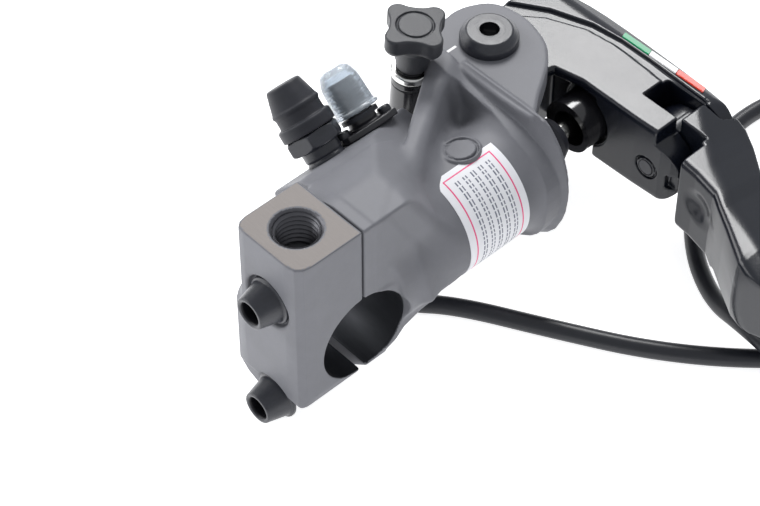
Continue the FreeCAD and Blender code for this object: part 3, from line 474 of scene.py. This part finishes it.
def cap_field(p):
    x, y, z = p[:, 0], p[:, 1], p[:, 2]
    side = [(-0.2, 31.5), (-17.6, 31.5), (-17.6, -3), (-17.2, -11), (-15.4, -14.6), (-14.6, -21),
                    (-0.75, -21), (-0.75, 4), (-0.2, 6)]
    face = [(10.05, 31.5), (10.05, -9.2), (9.3, -11.6), (4.5, -15.7), (0, -19.2), (-3.5, -20.3),
                    (-7.5, -19.4), (-10.6, -17.6), (-11.6, -15.9), (-13.4, -14.0), (-14.2, -8), (-14.3, -3),
                    (-13.6, 4), (-11.8, 9.5), (-10.0, 14.0), (-9.7, 19), (-9.7, 31.5)]
    block = smax(outline(y, z, side), outline(x, z, face), 0.7)
    corners = outline(x, y, [(10.05, 5), (10.05, -13.2), (9.4, -15.6), (8.2, -17.0), (5.6, -17.6),
                             (-6.6, -17.6), (-8.4, -17.1), (-9.3, -16.0), (-9.7, -14.2), (-9.7, 5)])
    low_corner = outline(x, y, [(10.05, 5), (10.05, -13.2), (9.4, -15.6), (8.2, -17.0), (5.6, -17.6),
                                (-7.6, -17.6), (-11.2, -16.4), (-13.6, -13.6), (-15.5, -9), (-15.5, 5)])
    t = np.clip((z - 6) / 9, 0, 1)
    t = t * t * (3 - 2 * t)
    whole = smax(block, t * corners + (1 - t) * low_corner, 0.5)
    hole = rod(p, (0, -9, 0), Z_AXIS, 5.0, 21.5, 40, 0.1)
    r, h = radial(p, (0, -9, 31.5), Z_AXIS)
    sink = (r - 5.8 - h) * 0.7
    seat = rod(p, (0, -16, 15.5), -Y_AXIS, 6.1, 0, 10, 0.9)
    low_seat = rod(p, (0, -15.2, -15.5), -Y_AXIS, 6.0, 0, 10, 0.9)
    holes = join([rod(p, (0, 0, 0), (1, 0, 0), 11.1, -30, 30, 0.4), hole, sink,
                  rod(p, (0, 0, 15.5), Y_AXIS, 3.05, -30, 5, 0.1),
                  rod(p, (0, 0, -15.5), Y_AXIS, 3.05, -30, 5, 0.1)], 0.05)
    whole = smax(whole, -holes, 0.35)
    return smax(smax(whole, -seat, 0.9), -low_seat, 0.9)


# Faces inside the clamp bore, which take the painted shade of the bore.
def in_bore(c):
    return (np.hypot(c[:, 1], c[:, 2]) < 11.25) & (np.abs(c[:, 0]) < 9.9)


# Material 1, the painted shade, goes on the clamp bore and on the piston bore walls (piston marks the piston
# bore).
def body_zones(c, n):
    piston = (np.hypot(c[:, 0], c[:, 2] - BORE) < 7.7) & (c[:, 1] > 13.8)
    return np.where(in_bore(c) | piston, 1, 0)


def cap_zones(c, n):
    # Material 1 is painted shade in the clamp bore, material 2 the machined top face, material 3 painted
    # shade on the wall and countersink of the mirror hole.
    zone = np.where(in_bore(c), 1, 0)
    zone = np.where((c[:, 2] > 31.3) & (n[:, 2] > 0.9), 2, zone)
    r = np.hypot(c[:, 0], c[:, 1] + 9)
    return np.where((r < 6.2) & (c[:, 2] > 20) & (c[:, 2] < 31.42) & (n[:, 2] < 0.9), 3, zone)


body = sculpt("body_casting", body_field, (-33, -1, -22), (17, 78, 34), 0.42)
tint(body, body_zones)
finish_piece(body, "cylinder", [grey, bore_painted_shade], "body", slot="body_grey")
cap = sculpt("cap_casting", cap_field, (-17, -20, -23), (12, 1, 33.5), 0.33)
finish_piece(cap, "cylinder", [grey, bore_painted_shade, machined, thread_painted_shade], "clamp_cap", slot="body_grey")
tint(cap, cap_zones)


# ---------------------------------------------------------------- thread in the mirror hole
def make_thread():
    """A closed sleeve whose inside is cut with the mirror thread."""
    around, pitch, top, bottom = 96, 1.25, 30.9, 22.0
    rings = int((top - bottom) / pitch * 14)
    verts, faces = [], []
    for k in range(rings + 1):
        height = top - (top - bottom) * k / rings
        fade = min(1.0, k / 10.0)
        for i in range(around):
            angle = 2 * math.pi * i / around
            wave = ((height / pitch + i / around) % 1.0)
            depth = 0.72 * fade * (1 - abs(2 * wave - 1)) ** 0.9
            r = 4.97 - depth
            verts.append((r * math.cos(angle), -9 + r * math.sin(angle), height))
    inner = len(verts)
    for height in (bottom, top):
        for i in range(around):
            angle = 2 * math.pi * i / around
            verts.append((4.985 * math.cos(angle), -9 + 4.985 * math.sin(angle), height))
    for k in range(rings):
        for i in range(around):
            j = (i + 1) % around
            faces.append((k * around + j, k * around + i, (k + 1) * around + i, (k + 1) * around + j))
    last = rings * around
    for i in range(around):
        j = (i + 1) % around
        faces.append((last + j, last + i, inner + i, inner + j))
        faces.append((inner + j, inner + i, inner + around + i, inner + around + j))
        faces.append((inner + around + j, inner + around + i, i, j))
    thing = new_mesh("mirror_thread", np.array(verts), faces)
    # The thread takes the painted shade of the hole.
    finish_piece(thing, "cylinder", thread_painted_shade, slot="body_grey")


make_thread()


# ---------------------------------------------------------------- clamp screws
def clamp_screw(name, seat, height):
    rough = lambda angles, h, radius: np.where((h > 1.1) & (h < 6.2) & (radius > 3.3),
                                               0.03 * np.sin(angles * 48), 0) * np.ones_like(angles)
    profile = edged([(0.05, 0.1), (5.5, 0.1), (5.5, 1.0), (4.95, 1.15), (3.65, 6.4), (2.95, 6.4),
                     (2.55, 5.9), (2.5, 2.4), (0.05, 1.4)], 0.22)
    head = turn(name, profile, (0, seat, height), -Y_AXIS, 96, rough)
    # Faces within 2.75 mm of the axis, the hex socket, get the second finish: painted shade.
    tint(head, lambda c, n: np.where(np.hypot(c[:, 0], c[:, 2] - height) < 2.75, 1, 0))
    return head


upper_screw = clamp_screw("clamp_screw_upper", -16.0, 15.5)
finish_piece(upper_screw, "cylinder", [screw_black, socket_painted_shade], "clamp_screws", slot="screw_black")
lower_screw = clamp_screw("clamp_screw_lower", -15.2, -15.5)
finish_piece(lower_screw, "cylinder", [screw_black, socket_painted_shade], slot="screw_black")


# ---------------------------------------------------------------- bleed screw, nipple and their caps
def on_ledge(forward, out=0.0):
    return LEDGE + LEDGE_OUT * out + Y_AXIS * forward


def hexed(angles, height, radius):
    """Flats on a hexagon whose corners are at the turned radius."""
    if radius < 5.6:
        return np.zeros_like(angles)
    step = ((angles + 0.35) % (math.pi / 3)) - math.pi / 6
    flat = 5.5 / np.cos(step)
    return np.minimum(flat, radius) - radius


def make_fittings():
    bleed = turn("bleed_screw_turned", edged([
        (0.05, -0.6), (4.3, -0.6), (4.3, 0.5), (4.0, 0.9), (4.3, 1.3), (4.3, 3.2), (5.5, 3.35),
        (6.1, 3.75), (6.3, 4.2), (6.3, 6.1), (6.05, 6.55), (5.4, 6.9), (0.05, 6.9)], 0.12),
        on_ledge(15), LEDGE_OUT, 144, hexed)
    finish_piece(bleed, "bleed", screw_black, "bleed_screw", slot="screw_black")
    rubber_cap = turn("bleed_cap_moulded", edged([
        (0.05, 7.0), (6.15, 7.0), (6.15, 9.4), (5.9, 9.8), (5.3, 9.9), (5.2, 10.4), (5.2, 12.2),
        (5.5, 12.6), (5.55, 13.1), (5.25, 13.5), (4.6, 15.9), (3.95, 18.1), (3.6, 18.35), (0.05, 18.35)],
        0.3), on_ledge(15), LEDGE_OUT, 96)
    finish_piece(rubber_cap, "bleed_cover", rubber, "bleed_cap", slot="rubber_black")
    stem = turn("nipple_stem", edged([
        (0.05, 1.2), (4.1, 1.2), (4.1, 1.9), (3.4, 2.4), (3.3, 3.0), (3.3, 9.4), (3.55, 10.4),
        (2.9, 12.4), (1.7, 12.5), (1.6, 9.0), (0.05, 9.0)], 0.2), on_ledge(27), LEDGE_OUT, 72)
    finish_piece(stem, "cylinder", plastic_black, "reservoir_nipple", slot="nipple_black")

    def plate_field(p):
        w = p - on_ledge(27)
        u, v, h = w @ LEDGE_UP, w[:, 1], w @ LEDGE_OUT
        shape = outline(u, v, rounded([(-2.6, -7.5), (2.6, -7.5), (4.3, -4), (4.3, 4), (2.6, 7.5),
                                       (-2.6, 7.5), (-4.3, 4), (-4.3, -4)], 1))
        plate = smax(shape, np.maximum(0.1 - h, h - 1.6), 0.4)
        ribs = smax(np.abs(u) - 0.5, smax(np.abs(v) - 6.4, np.maximum(-h, h - 2.3), 0.3), 0.3)
        return smin(plate, ribs, 0.5)
    plate = sculpt("nipple_plate", plate_field, (-24.5, 16.5, 15), (-11.5, 37.5, 27.5), 0.22)
    finish_piece(plate, "cylinder", plastic_black, slot="nipple_black")

    def star(angles, height, radius):
        return np.where(radius < 1.0, 0.13 * np.cos(angles * 6), 0)
    for number, offset in enumerate((-5.8, 5.8)):
        head = turn(f"nipple_screw_{number}", edged([
            (0.05, 1.0), (1.55, 1.0), (1.55, 2.6), (1.3, 3.0), (0.95, 3.05), (0.8, 2.2), (0.05, 2.2)], 0.12),
            on_ledge(27 + offset), LEDGE_OUT, 48, star)
        standing = ["nipple_screws"] if number == 0 else []
        finish_piece(head, "cylinder", screw_black, *standing, slot="screw_black")
    shell = turn("nipple_cap_moulded", edged([
        (3.45, 4.9), (5.2, 4.9), (5.2, 5.6), (4.7, 5.9), (4.6, 6.3), (4.45, 11.8), (4.3, 12.6),
        (3.7, 14.3), (3.2, 15.1), (2.6, 15.5), (0.05, 15.7)], 0.35), on_ledge(27), LEDGE_OUT, 96)
    steps = []
    for k in range(5):
        steps += [(3.75, 6.2 + 1.4 * k), (3.95, 6.5 + 1.4 * k), (3.95, 7.0 + 1.4 * k), (3.75, 7.3 + 1.4 * k)]
    inside = turn("nipple_cap_inside", edged([(3.45, 4.9), *steps, (2.9, 14.0), (0.05, 14.4)], 0.08),
                  on_ledge(27), LEDGE_OUT, 96)
    inside.data.flip_normals()
    finish_piece(shell, "nipple_cover", cap_clear, "nipple_cap", slot="cap_clear")
    finish_piece(inside, "nipple_cover", cap_clear, slot="cap_clear")


make_fittings()


# ---------------------------------------------------------------- pivot bolt
def make_pivot():
    at = (-19, 64, 22.5)
    head = turn("pivot_bolt_turned", edged([
        (0.05, -0.2), (6.6, -0.2), (6.6, 1.5), (6.35, 2.1), (5.15, 3.35), (2.75, 3.4), (2.6, 3.2)], 0.25),
        at, Z_AXIS, 96)
    finish_piece(head, "cylinder", screw_black, "pivot_bolt", slot="screw_black")
    def bumps(angles, height, radius):
        step = (angles % (math.pi / 3)) - math.pi / 6
        return radius * (math.cos(math.pi / 6) / np.cos(step) - 1)
    socket = turn("pivot_socket", [(2.9, 3.38), (2.85, 3.1), (2.85, 0.9), (2.3, 0.6), (0.05, 0.4)],
                  at, Z_AXIS, 96, bumps)
    # The hex socket of the pivot bolt is painted shade.
    finish_piece(socket, "cylinder", socket_painted_shade, slot="screw_black")
    rim = turn("pivot_socket_rim", [(2.25, 3.36), (3.1, 3.43), (3.5, 3.4)], at, Z_AXIS, 96)
    finish_piece(rim, "cylinder", screw_black, slot="screw_black")
    nut_bolt = turn("pivot_bolt_end", edged([(0.05, -39.0), (3.6, -39.0), (3.95, -38.6), (3.95, -33)], 0.1),
                    at, Z_AXIS, 48)
    finish_piece(nut_bolt, "cylinder", screw_black, slot="screw_black")


make_pivot()


# ---------------------------------------------------------------- selector knob, tube and ring
def knob_field(p):
    axis = TUBE_AXIS
    base = TUBE_FOOT + axis * ((28.8 + 9.6) / axis[2])
    w = p - base
    side = np.array([1.0, 0.0, 0.0])
    side = side - axis * (side @ axis)
    side /= np.linalg.norm(side)
    other = np.cross(axis, side)
    u, v, h = w @ side, w @ other, w @ axis
    turn_by = math.radians(-2)
    a = u * math.cos(turn_by) + v * math.sin(turn_by)
    b = -u * math.sin(turn_by) + v * math.cos(turn_by)
    star = np.hypot(a, b) - 6.0
    for cx, cy in ((5.6, 0), (0, 5.6), (-5.6, 0), (0, -5.6)):
        star = smin(star, np.hypot(a - cx, b - cy) - 2.3, 1.6)
    for cx, cy in ((6.6, 6.6), (-6.6, 6.6), (-6.6, -6.6), (6.6, -6.6)):
        star = smax(star, -(np.hypot(a - cx, b - cy) - 3.6), 1.2)
    under = (star * 0.78 + (1.4 - h) * 0.62)
    disc = meet([star, np.maximum(-h, h - 5.1)], 0.5)
    disc = smax(disc, under, 0.4)
    r = np.hypot(u, v)
    ring = np.abs(r - 3.9) - 0.22
    disc = smax(disc, -smax(ring, 4.75 - h, 0.1), 0.2)
    hub = smax((r - 4.5 - 0.14 * h) * 0.98, np.maximum(-6.6 - h, h - 1), 0.5)
    return smin(disc, hub, 0.8)


knob = sculpt("knob_moulded", knob_field, (-34.5, 37, 19.5), (-15, 57.5, 36), 0.24)
finish_piece(knob, "selector", knob_black, "selector_knob", slot="knob_black")


def make_selector_tube():
    reach = (21.6 + 9.6) / TUBE_AXIS[2]
    tube = turn("selector_tube_turned", edged([
        (0.05, 0.0), (4.1, 0.0), (4.3, 0.3), (4.3, reach - 4.3), (4.1, reach - 4.1), (4.1, reach - 3.8),
        (4.45, reach - 3.6), (4.45, reach - 2.2), (2.6, reach - 2.2)], 0.12), TUBE_FOOT, TUBE_AXIS, 96)
    finish_piece(tube, "lever", tube_black, "selector_tube", slot="tube_black")
    ring = turn("selector_ring_turned", edged([
        (2.6, reach - 2.15), (4.35, reach - 2.15), (4.65, reach - 1.7), (4.65, reach - 0.5),
        (4.3, reach - 0.05), (3.4, reach), (3.2, reach - 0.5), (2.6, reach - 0.5)], 0.15),
        TUBE_FOOT, TUBE_AXIS, 96)
    finish_piece(ring, "lever", steel, "selector_ring", slot="steel")


make_selector_tube()


# ---------------------------------------------------------------- lever arm
ARM = rounded([(-12, 61), (-9.5, 68), (-7.5, 75.1), (21.6, 75.1), (26.2, 76.4), (28.4, 79.4), (32, 88),
               (31.2, 92.6), (18, 94.9), (9.4, 95.6), (-4, 96.3), (-16, 96.3), (-24.6, 94.4), (-30.0, 88),
               (-31.3, 78), (-27.6, 64)], 1)
TAIL = rounded([(-12, 61), (-17.9, 55.6), (-18.6, 51), (-20.9, 45.5), (-23, 41.0), (-29.4, 40.8),
                (-31.9, 45), (-31.4, 51), (-27.4, 64)], 1)


BEVEL_EDGE = (0, 91.4, 15.7)
BEVEL_OUT = (0, 0.45, 0.893)


def arm_field(p):
    x, y, z = p[:, 0], p[:, 1], p[:, 2]
    arm = smax(outline(x, y, ARM), slab(p, 2, -5, 15.6), 1.3)
    hub = rod(p, (-19, 64, 0), Z_AXIS, 8.5, -5, 15.6, 0.6)
    tail = smax(outline(x, y, TAIL), slab(p, 2, -5, 9), 1.2)
    tail = smin(tail, rod(p, TUBE_FOOT, TUBE_AXIS, 5.6, 3, 19.5, 0.6), 1.0)
    whole = smin(smin(arm, hub, 1.5), tail, 1.2)
    bevel = plane(p, BEVEL_EDGE, BEVEL_OUT)
    whole = smax(whole, bevel, 0.8)
    line = outline(x, y, [(-30, 76), (-21, 84.0), (-12, 88.0), (-4, 89.0), (4.6, 88.6), (14, 87.8), (22, 88),
                          (22, 90.4), (14, 90.7), (4.6, 91.1), (-4, 91.1), (-12, 90.0), (-22, 86.4),
                          (-32, 80)])
    trench = smax(line, 14.6 - z, 0.6)
    whole = smax(whole, -trench, 0.7)
    dish = rod(p, (0, 0, BORE), Y_AXIS, 7.2, 60, 78.2, 0.6)
    whole = smax(whole, -dish, 0.5)
    relief = meet([slab(p, 0, -12, 3.2), slab(p, 1, 60, 77.6), slab(p, 2, -9, 13.2)], 1.0)
    whole = smax(whole, -relief, 0.7)
    lower = plane(p, (8, 75.1, -5), (0.05, -0.55, -0.83))
    whole = smax(whole, lower, 1.5)
    end = rod(p, (19, 50, 3.5), Y_AXIS, 8.6, 0, 38, 0.6)
    front_end = rod(p, (19, 88, 3.5), Y_AXIS, 12.3, 0, 20, 0.6)
    inner = plane(p, (21, 0, 0), (1, 0, 0))
    keep = smin(smin(end, front_end, 0.2), inner, 0.5)
    whole = smax(whole, keep, 0.5)
    slot = meet([slab(p, 0, 10.9, 60), slab(p, 1, 82.0, 90.0), slab(p, 2, -20, 30)], 0.8)
    pin = rod(p, (19, 60, 3.5), Y_AXIS, 1.82, 0, 60, 0.1)
    ring = smax(np.abs(radial(p, (19, 75.1, 3.5), Y_AXIS)[0] - 2.75) - 0.28, y - 75.7, 0.1)
    notch = meet([slab(p, 0, 24.2, 30), slab(p, 1, 70, 77.2), slab(p, 2, 0.6, 4.4)], 0.4)
    drum = rod(p, (0, 0, BORE), Y_AXIS, 6.45, 60, 110, 0.1)
    bush = rod(p, (-19, 64, 0), Z_AXIS, 5.42, -30, 40, 0.1)
    tube = rod(p, TUBE_FOOT, TUBE_AXIS, 4.33, -10, 60, 0.1)
    lens = smax(radial(p, (19.5, 99.2, 17.2), (1, -0.16, -0.02))[0] - 4.2, np.abs(x - 21) - 9, 1.5)
    holes = join([slot, pin, drum, bush, tube, notch], 0.05)
    whole = smax(whole, -holes, 0.35)
    whole = smax(whole, -lens, 0.6)
    return smax(whole, -ring, 0.1)


def blade_path(x):
    """Rider side and front side of the blade at a distance outboard."""
    rider = np.interp(x, [22, 29.6, 35, 41.2, 49, 56.9, 66, 76, 90, 110, 135, 160],
                      [76, 73.0, 72.4, 71.0, 66.0, 60.6, 57.2, 55.2, 53.8, 53.1, 53.4, 54.6])
    front = np.interp(x, [18, 24.6, 31.5, 36.1, 40.8, 50, 60, 72, 85, 100, 125, 160],
                      [94.6, 94.5, 92.8, 90.2, 86.6, 79.6, 73.4, 68.9, 66.4, 65.2, 64.6, 65.4])
    return rider, front


def blade_field(p):
    x, y, z = p[:, 0], p[:, 1], p[:, 2]
    rider, front = blade_path(x)
    middle = 0.5 * (rider + front)
    half = 0.5 * (front - rider)
    lean = np.interp(x, [29, 41, 57, 75, 160], [0.80, 0.78, 0.74, 0.93, 1.0])
    low = np.interp(x, [29, 60, 92, 160], [-4.6, -4.4, 0.3, 0.3])
    high = np.interp(x, [29, 58, 92, 160], [15.4, 15.3, 11.4, 11.4])
    across = (np.abs(y - middle) - half) * lean
    tall = np.maximum(low - z, z - high) * 0.97
    blade = smax(across, tall, 1.6)
    soft = smax(across, tall, 8.5)
    t = np.clip((x - 44) / 36, 0, 1)
    blade = blade * (1 - t) + soft * t
    blade = smax(blade, slab(p, 0, 21.8, 160), 0.6)
    shoulder = outline(x, z, [(29.6, 30), (29.0, 12), (29.2, -0.5), (32.0, -8), (60, -30), (200, -30),
                              (200, 30)])
    vee = outline(x, y, [(21.7, 82.3), (30, 80.2), (30.2, 60), (200, 60), (200, 120), (21.7, 120)])
    whole = smax(smax(blade, vee, 0.6), smin(shoulder, 82.3 - y, 0.3), 0.6)
    front_clear = rod(p, (19, 89.7, 3.5), Y_AXIS, 12.85, 0, 20, 0.3)
    whole = smax(whole, -front_clear, 0.5)
    knuckle = rod(p, (19, 82.35, 3.5), Y_AXIS, 8.1, 0, 7.35, 0.6)
    tongue = meet([slab(p, 0, 19, 32), slab(p, 1, 82.35, 89.65), slab(p, 2, -4.6, 15.3)], 0.6)
    tongue = smax(tongue, smin(rod(p, (19, 82, 3.5), Y_AXIS, 8.1, 0, 9, 0.3), 21.6 - x, 0.3), 0.6)
    whole = smin(smin(whole, knuckle, 0.4), tongue, 0.5)
    ridge = np.interp(x, [22, 32.4, 36, 42.6, 46, 60, 90, 160],
                      [89.1, 80.4, 77.7, 74.1, 71.5, 65.5, 60.5, 60.5])
    crease = (z - high + 0.1) * 0.954 + (y - ridge) * 0.24
    whole = smax(whole, crease, 0.5)
    scoop = capsule(p, (36.5, 68.6, 6.8), (48.5, 60.2, 5.2), 4.6, 2.4)
    flute = capsule(p, (44, 61.2, 1.5), (66, 51.6, 2.2), 2.6, 2.2)
    flute_up = capsule(p, (45, 64.5, 8.8), (68, 52.6, 7.2), 1.5, 1.3)
    belly = capsule(p, (47, 69.5, -4.6), (72, 58.5, -2.4), 2.2, 1.4)
    for tool, k in ((scoop, 1.6), (flute, 1.2), (flute_up, 1.0), (belly, 1.0)):
        whole = smax(whole, -tool, k)
    tip = np.linalg.norm(p - np.array([160, 60, 5.8]), axis=1) - 7.9
    whole = smin(whole, tip, 2.5)
    pin = rod(p, (19, 60, 3.5), Y_AXIS, 1.86, 0, 60, 0.1)
    pocket = rod(p, (19, 88.0, 3.5), Y_AXIS, 3.5, 0, 2.2, 0.1)
    return smax(whole, -smin(pin, pocket, 0.05), 0.2)


arm = sculpt("arm_forging", arm_field, (-34, 39, -7), (34, 99, 22), 0.36)
finish_piece(arm, "lever", gloss_black, "lever_arm", slot="lever_black")
blade = sculpt("blade_forging", blade_field, (9, 50, -7), (170, 97, 18), 0.42)
finish_piece(blade, "blade", gloss_black, "lever_blade", slot="lever_black")


def make_inlays():
    """Three thin coloured plates, end to end on the sloping front edge of the arm."""
    down = (0, 0.893, -0.45)
    inks = {"green": inlay_green, "white": inlay_white, "red": inlay_red}
    for number, (colour, ink) in enumerate(inks.items()):
        start = -4.6 + 8.1 * number

        def plate(p):
            height = plane(p, BEVEL_EDGE, BEVEL_OUT)
            slope = plane(p, BEVEL_EDGE, down)
            along = p[:, 0] - start + 0.45 * slope
            edge = np.maximum(np.maximum(0.5 - slope, slope - 3.1), np.maximum(-along, along - 8.0))
            return smax(edge, np.maximum(height - 0.22, -0.3 - height), 0.12)

        piece = sculpt(f"inlay_{colour}_enamel", plate, (start - 3, 90.5, 13), (start + 10, 96, 16.6), 0.16)
        finish_piece(piece, "lever", ink, f"inlay_{colour}", slot=f"inlay_{colour}")


make_inlays()


# ---------------------------------------------------------------- label
def label_material():
    """White paper for the label sheet; the pink border line and plain grey bars in place of print are made
    in make_label.
    """
    return material("label_paper", (0.80, 0.80, 0.83), 0.5, 0.0, 0.35, 0.3, 0.25, 0.02, 6.0)


def make_label():
    inner, outer = 13.03, 13.16
    first, last, low, high = math.radians(-48), math.radians(87), 27.8, 45.2
    around, along = 120, 16
    verts, faces = [], []
    for radius in (inner, outer):
        for i in range(around + 1):
            angle = first + (last - first) * i / around
            for j in range(along + 1):
                forward = low + (high - low) * j / along
                verts.append((radius * math.cos(angle), forward, BORE + radius * math.sin(angle)))
    row, sheet = along + 1, (around + 1) * (along + 1)
    for i in range(around):
        for j in range(along):
            a = i * row + j
            faces.append((sheet + a, sheet + a + row, sheet + a + row + 1, sheet + a + 1)[::-1])
            faces.append((a, a + 1, a + row + 1, a + row)[::-1])
    for i in range(around):
        for j, flip in ((0, 1), (along, -1)):
            a = i * row + j
            faces.append((a, a + row, sheet + a + row, sheet + a)[::-flip])
    for j in range(along):
        for i, flip in ((0, -1), (around, 1)):
            a = i * row + j
            faces.append((a, a + 1, sheet + a + 1, sheet + a)[::-flip])
    paper = new_mesh("label_sheet", np.array(verts), faces, False)
    finish_piece(paper, "cylinder", label_material(), "label", slot="label_white")
    pink = material("label_line", (0.80, 0.10, 0.25), 0.5, 0.0, 0.35, 0.2, 0.25, 0.06)
    print_grey = material("label_print", (0.16, 0.17, 0.22), 0.5, 0.0, 0.35, 0.2, 0.25, 0.25, 0.6)

    def strip(a0, a1, y0, y1, lift=0.012):
        steps = max(2, int(abs(a1 - a0) / 1.2))
        pts, quads = [], []
        for k in range(steps + 1):
            angle = math.radians(a0 + (a1 - a0) * k / steps)
            for radius in (outer - 0.02, outer + lift):
                for forward in (y0, y1):
                    pts.append((radius * math.cos(angle), forward, BORE + radius * math.sin(angle)))
        for k in range(steps):
            a = 4 * k
            b = a + 4
            quads += [(a + 2, b + 2, b + 3, a + 3)[::-1], (a, a + 1, b + 1, b)[::-1],
                      (a, b, b + 2, a + 2)[::-1], (a + 1, a + 3, b + 3, b + 1)[::-1]]
        e = 4 * steps
        quads += [(0, 2, 3, 1), (e, e + 1, e + 3, e + 2)]
        return pts, quads

    batches = {"label_border": ([], [], pink), "label_bars": ([], [], print_grey)}

    def add(batch, a0, a1, y0, y1):
        pts, quads = strip(a0, a1, y0, y1)
        have, faces_now = batches[batch][:2]
        faces_now.extend(tuple(v + len(have) for v in q) for q in quads)
        have.extend(pts)

    add("label_border", 79.5, 80.9, 29.6, 43.4)
    add("label_border", -46, 80.9, 29.6, 29.95)
    add("label_border", -46, 80.9, 43.05, 43.4)
    for column in range(5):
        y0 = 31.6 + column * 2.25
        angle, seed = 74.0, column
        while angle > -40:
            seed = (seed * 7 + 5) % 11
            size = 3.0 + 0.35 * seed
            add("label_bars", angle - size, angle, y0, y0 + 0.35)
            add("label_bars", angle - size, angle, y0 + 0.8, y0 + 1.1)
            angle -= size + 1.6
    for name, (pts, quads, ink) in batches.items():
        thing = new_mesh(name, np.array(pts), quads, False)
        finish_piece(thing, "cylinder", ink, slot="label_white")


make_label()


# ---------------------------------------------------------------- printed setting line
def make_index_mark():
    """The short white setting line beside the selector."""
    def mark_field(p):
        return meet([slab(p, 0, -22.9, -22.2), slab(p, 1, 54.3, 57.4), slab(p, 2, 22.4, 22.53)], 0.05)
    mark = sculpt("index_mark", mark_field, (-23.5, 53.5, 22.2), (-21.5, 58, 22.8), 0.06)
    finish_piece(mark, "cylinder", paint_white, slot="inlay_white")


make_index_mark()


# ---------------------------------------------------------------- cable
ROUTE = [(-20, 38.6, -11.8), (-20.9, 34.2, -16.4), (-19.7, 28.6, -19), (-15.6, 23.9, -19),
         (-9.5, 21.8, -19), (-2.6, 23.2, -19), (5.8, 31.2, -19), (25, 41.8, -19), (44, 53, -19),
         (60.5, 67, -19), (75, 84.5, -19), (84, 104, -19), (85.5, 126, -19), (77, 146, -19),
         (60, 159.5, -19), (39, 161, -19), (21, 151, -19), (11.5, 134, -19), (9.5, 116, -19),
         (16.5, 97, -19), (29.5, 81.5, -19), (43, 73.4, -19), (54.5, 69.8, -14.2), (68, 68.3, -14.2),
         (80, 70.2, -19), (92, 75.5, -19)]


def make_cable():
    curve = bpy.data.curves.new("switch_lead", "CURVE")
    curve.dimensions = "3D"
    curve.bevel_depth = 2.1 * MM
    curve.bevel_resolution = 6
    curve.use_fill_caps = True
    curve.resolution_u = 16
    line = curve.splines.new("NURBS")
    line.points.add(len(ROUTE) - 1)
    for point, spot in zip(line.points, ROUTE):
        point.co = (*(c * MM for c in spot), 1)
    line.order_u = 3
    line.use_endpoint_u = True
    lead = bpy.data.objects.new("switch_lead", curve)
    bpy.context.scene.collection.objects.link(lead)
    curve.materials.append(cable_black)
    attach(lead, "cylinder")
    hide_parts("switch_cable")


make_cable()


# ---------------------------------------------------------------- finishes of the pieces kept from CAD
KEPT = {
    "nipple_seal": rubber, "pivot_nut": steel, "pivot_bush": bronze, "pivot_washers": steel,
    "piston": satin_black, "primary_seal": rubber, "secondary_seal": rubber, "return_spring": spring_steel,
    "circlip": spring_steel, "pushrod_boot": rubber, "pushrod": steel, "ratio_drum": tube_black,
    "fold_pin": screw_black, "fold_spring": spring_steel, "selector_shaft": screw_black,
    "switch_body": plastic_black, "switch_plunger": plastic_black, "switch_screws": steel,
    "switch_gland": rubber, "cable_connector": plastic_black, "connector_latch": plastic_black,
}
for name, finish in KEPT.items():
    mesh = nodes[name].data
    mesh.materials.clear()
    mesh.materials.append(finish)


# ---------------------------------------------------------------- floor, light and camera
def floor_material():
    m = material("studio_floor", (0.86, 0.86, 0.87), 0.8, 0.0, 0.2, 0.1, 3.0, 0.01, 200.0)
    shader = next(n for n in m.node_tree.nodes if n.type == "BSDF_PRINCIPLED")
    shader.inputs["Emission Color"].default_value = (1, 1, 1, 1)
    shader.inputs["Emission Strength"].default_value = 0.8
    return m


def make_stage():
    size = 2500.0
    cells = 8
    verts, faces = [], []
    for i in range(cells + 1):
        for j in range(cells + 1):
            verts.append((-size / 2 + size * i / cells, -size / 2 + size * j / cells, FLOOR))
    for i in range(cells):
        for j in range(cells):
            a = i * (cells + 1) + j
            faces.append((a, a + cells + 1, a + cells + 2, a + 1))
    ground = new_mesh("studio_ground", np.array(verts), faces)
    ground.data.materials.append(floor_material())


def area_light(name, power, size, at, toward):
    lamp = bpy.data.lights.new(name, "AREA")
    lamp.energy = power
    lamp.shape = "RECTANGLE"
    lamp.size, lamp.size_y = size
    thing = bpy.data.objects.new(name, lamp)
    bpy.context.scene.collection.objects.link(thing)
    thing.location = at
    thing.rotation_euler = (Vector(toward) - Vector(at)).to_track_quat("-Z", "Y").to_euler()
    return thing


make_stage()
area_light("overhead", 7, (0.4, 0.4), (-0.45, 0.47, 0.74), (0.0, 0.04, 0.0))
area_light("fill_left", 6, (0.8, 0.6), (-0.9, -0.45, 0.55), (0.0, 0.03, 0.0))
world = bpy.data.worlds.new("studio")
bpy.context.scene.world = world
world.use_nodes = True
world.node_tree.nodes["Background"].inputs["Color"].default_value = (0.85, 0.87, 0.9, 1)
world.node_tree.nodes["Background"].inputs["Strength"].default_value = 0.7
bpy.context.scene.view_settings.view_transform = "Standard"

camera_data = bpy.data.cameras.new("photo_camera")
camera_data.lens = 2600 / 760 * 36
camera_data.sensor_width = 36
camera_data.clip_start = 0.01
camera = bpy.data.objects.new("photo_camera", camera_data)
bpy.context.scene.collection.objects.link(camera)
camera.location = (0.26736, -0.23556, 0.41266)
camera.rotation_euler = (math.radians(90 - 48), 0, math.radians(47))
bpy.context.scene.camera = camera
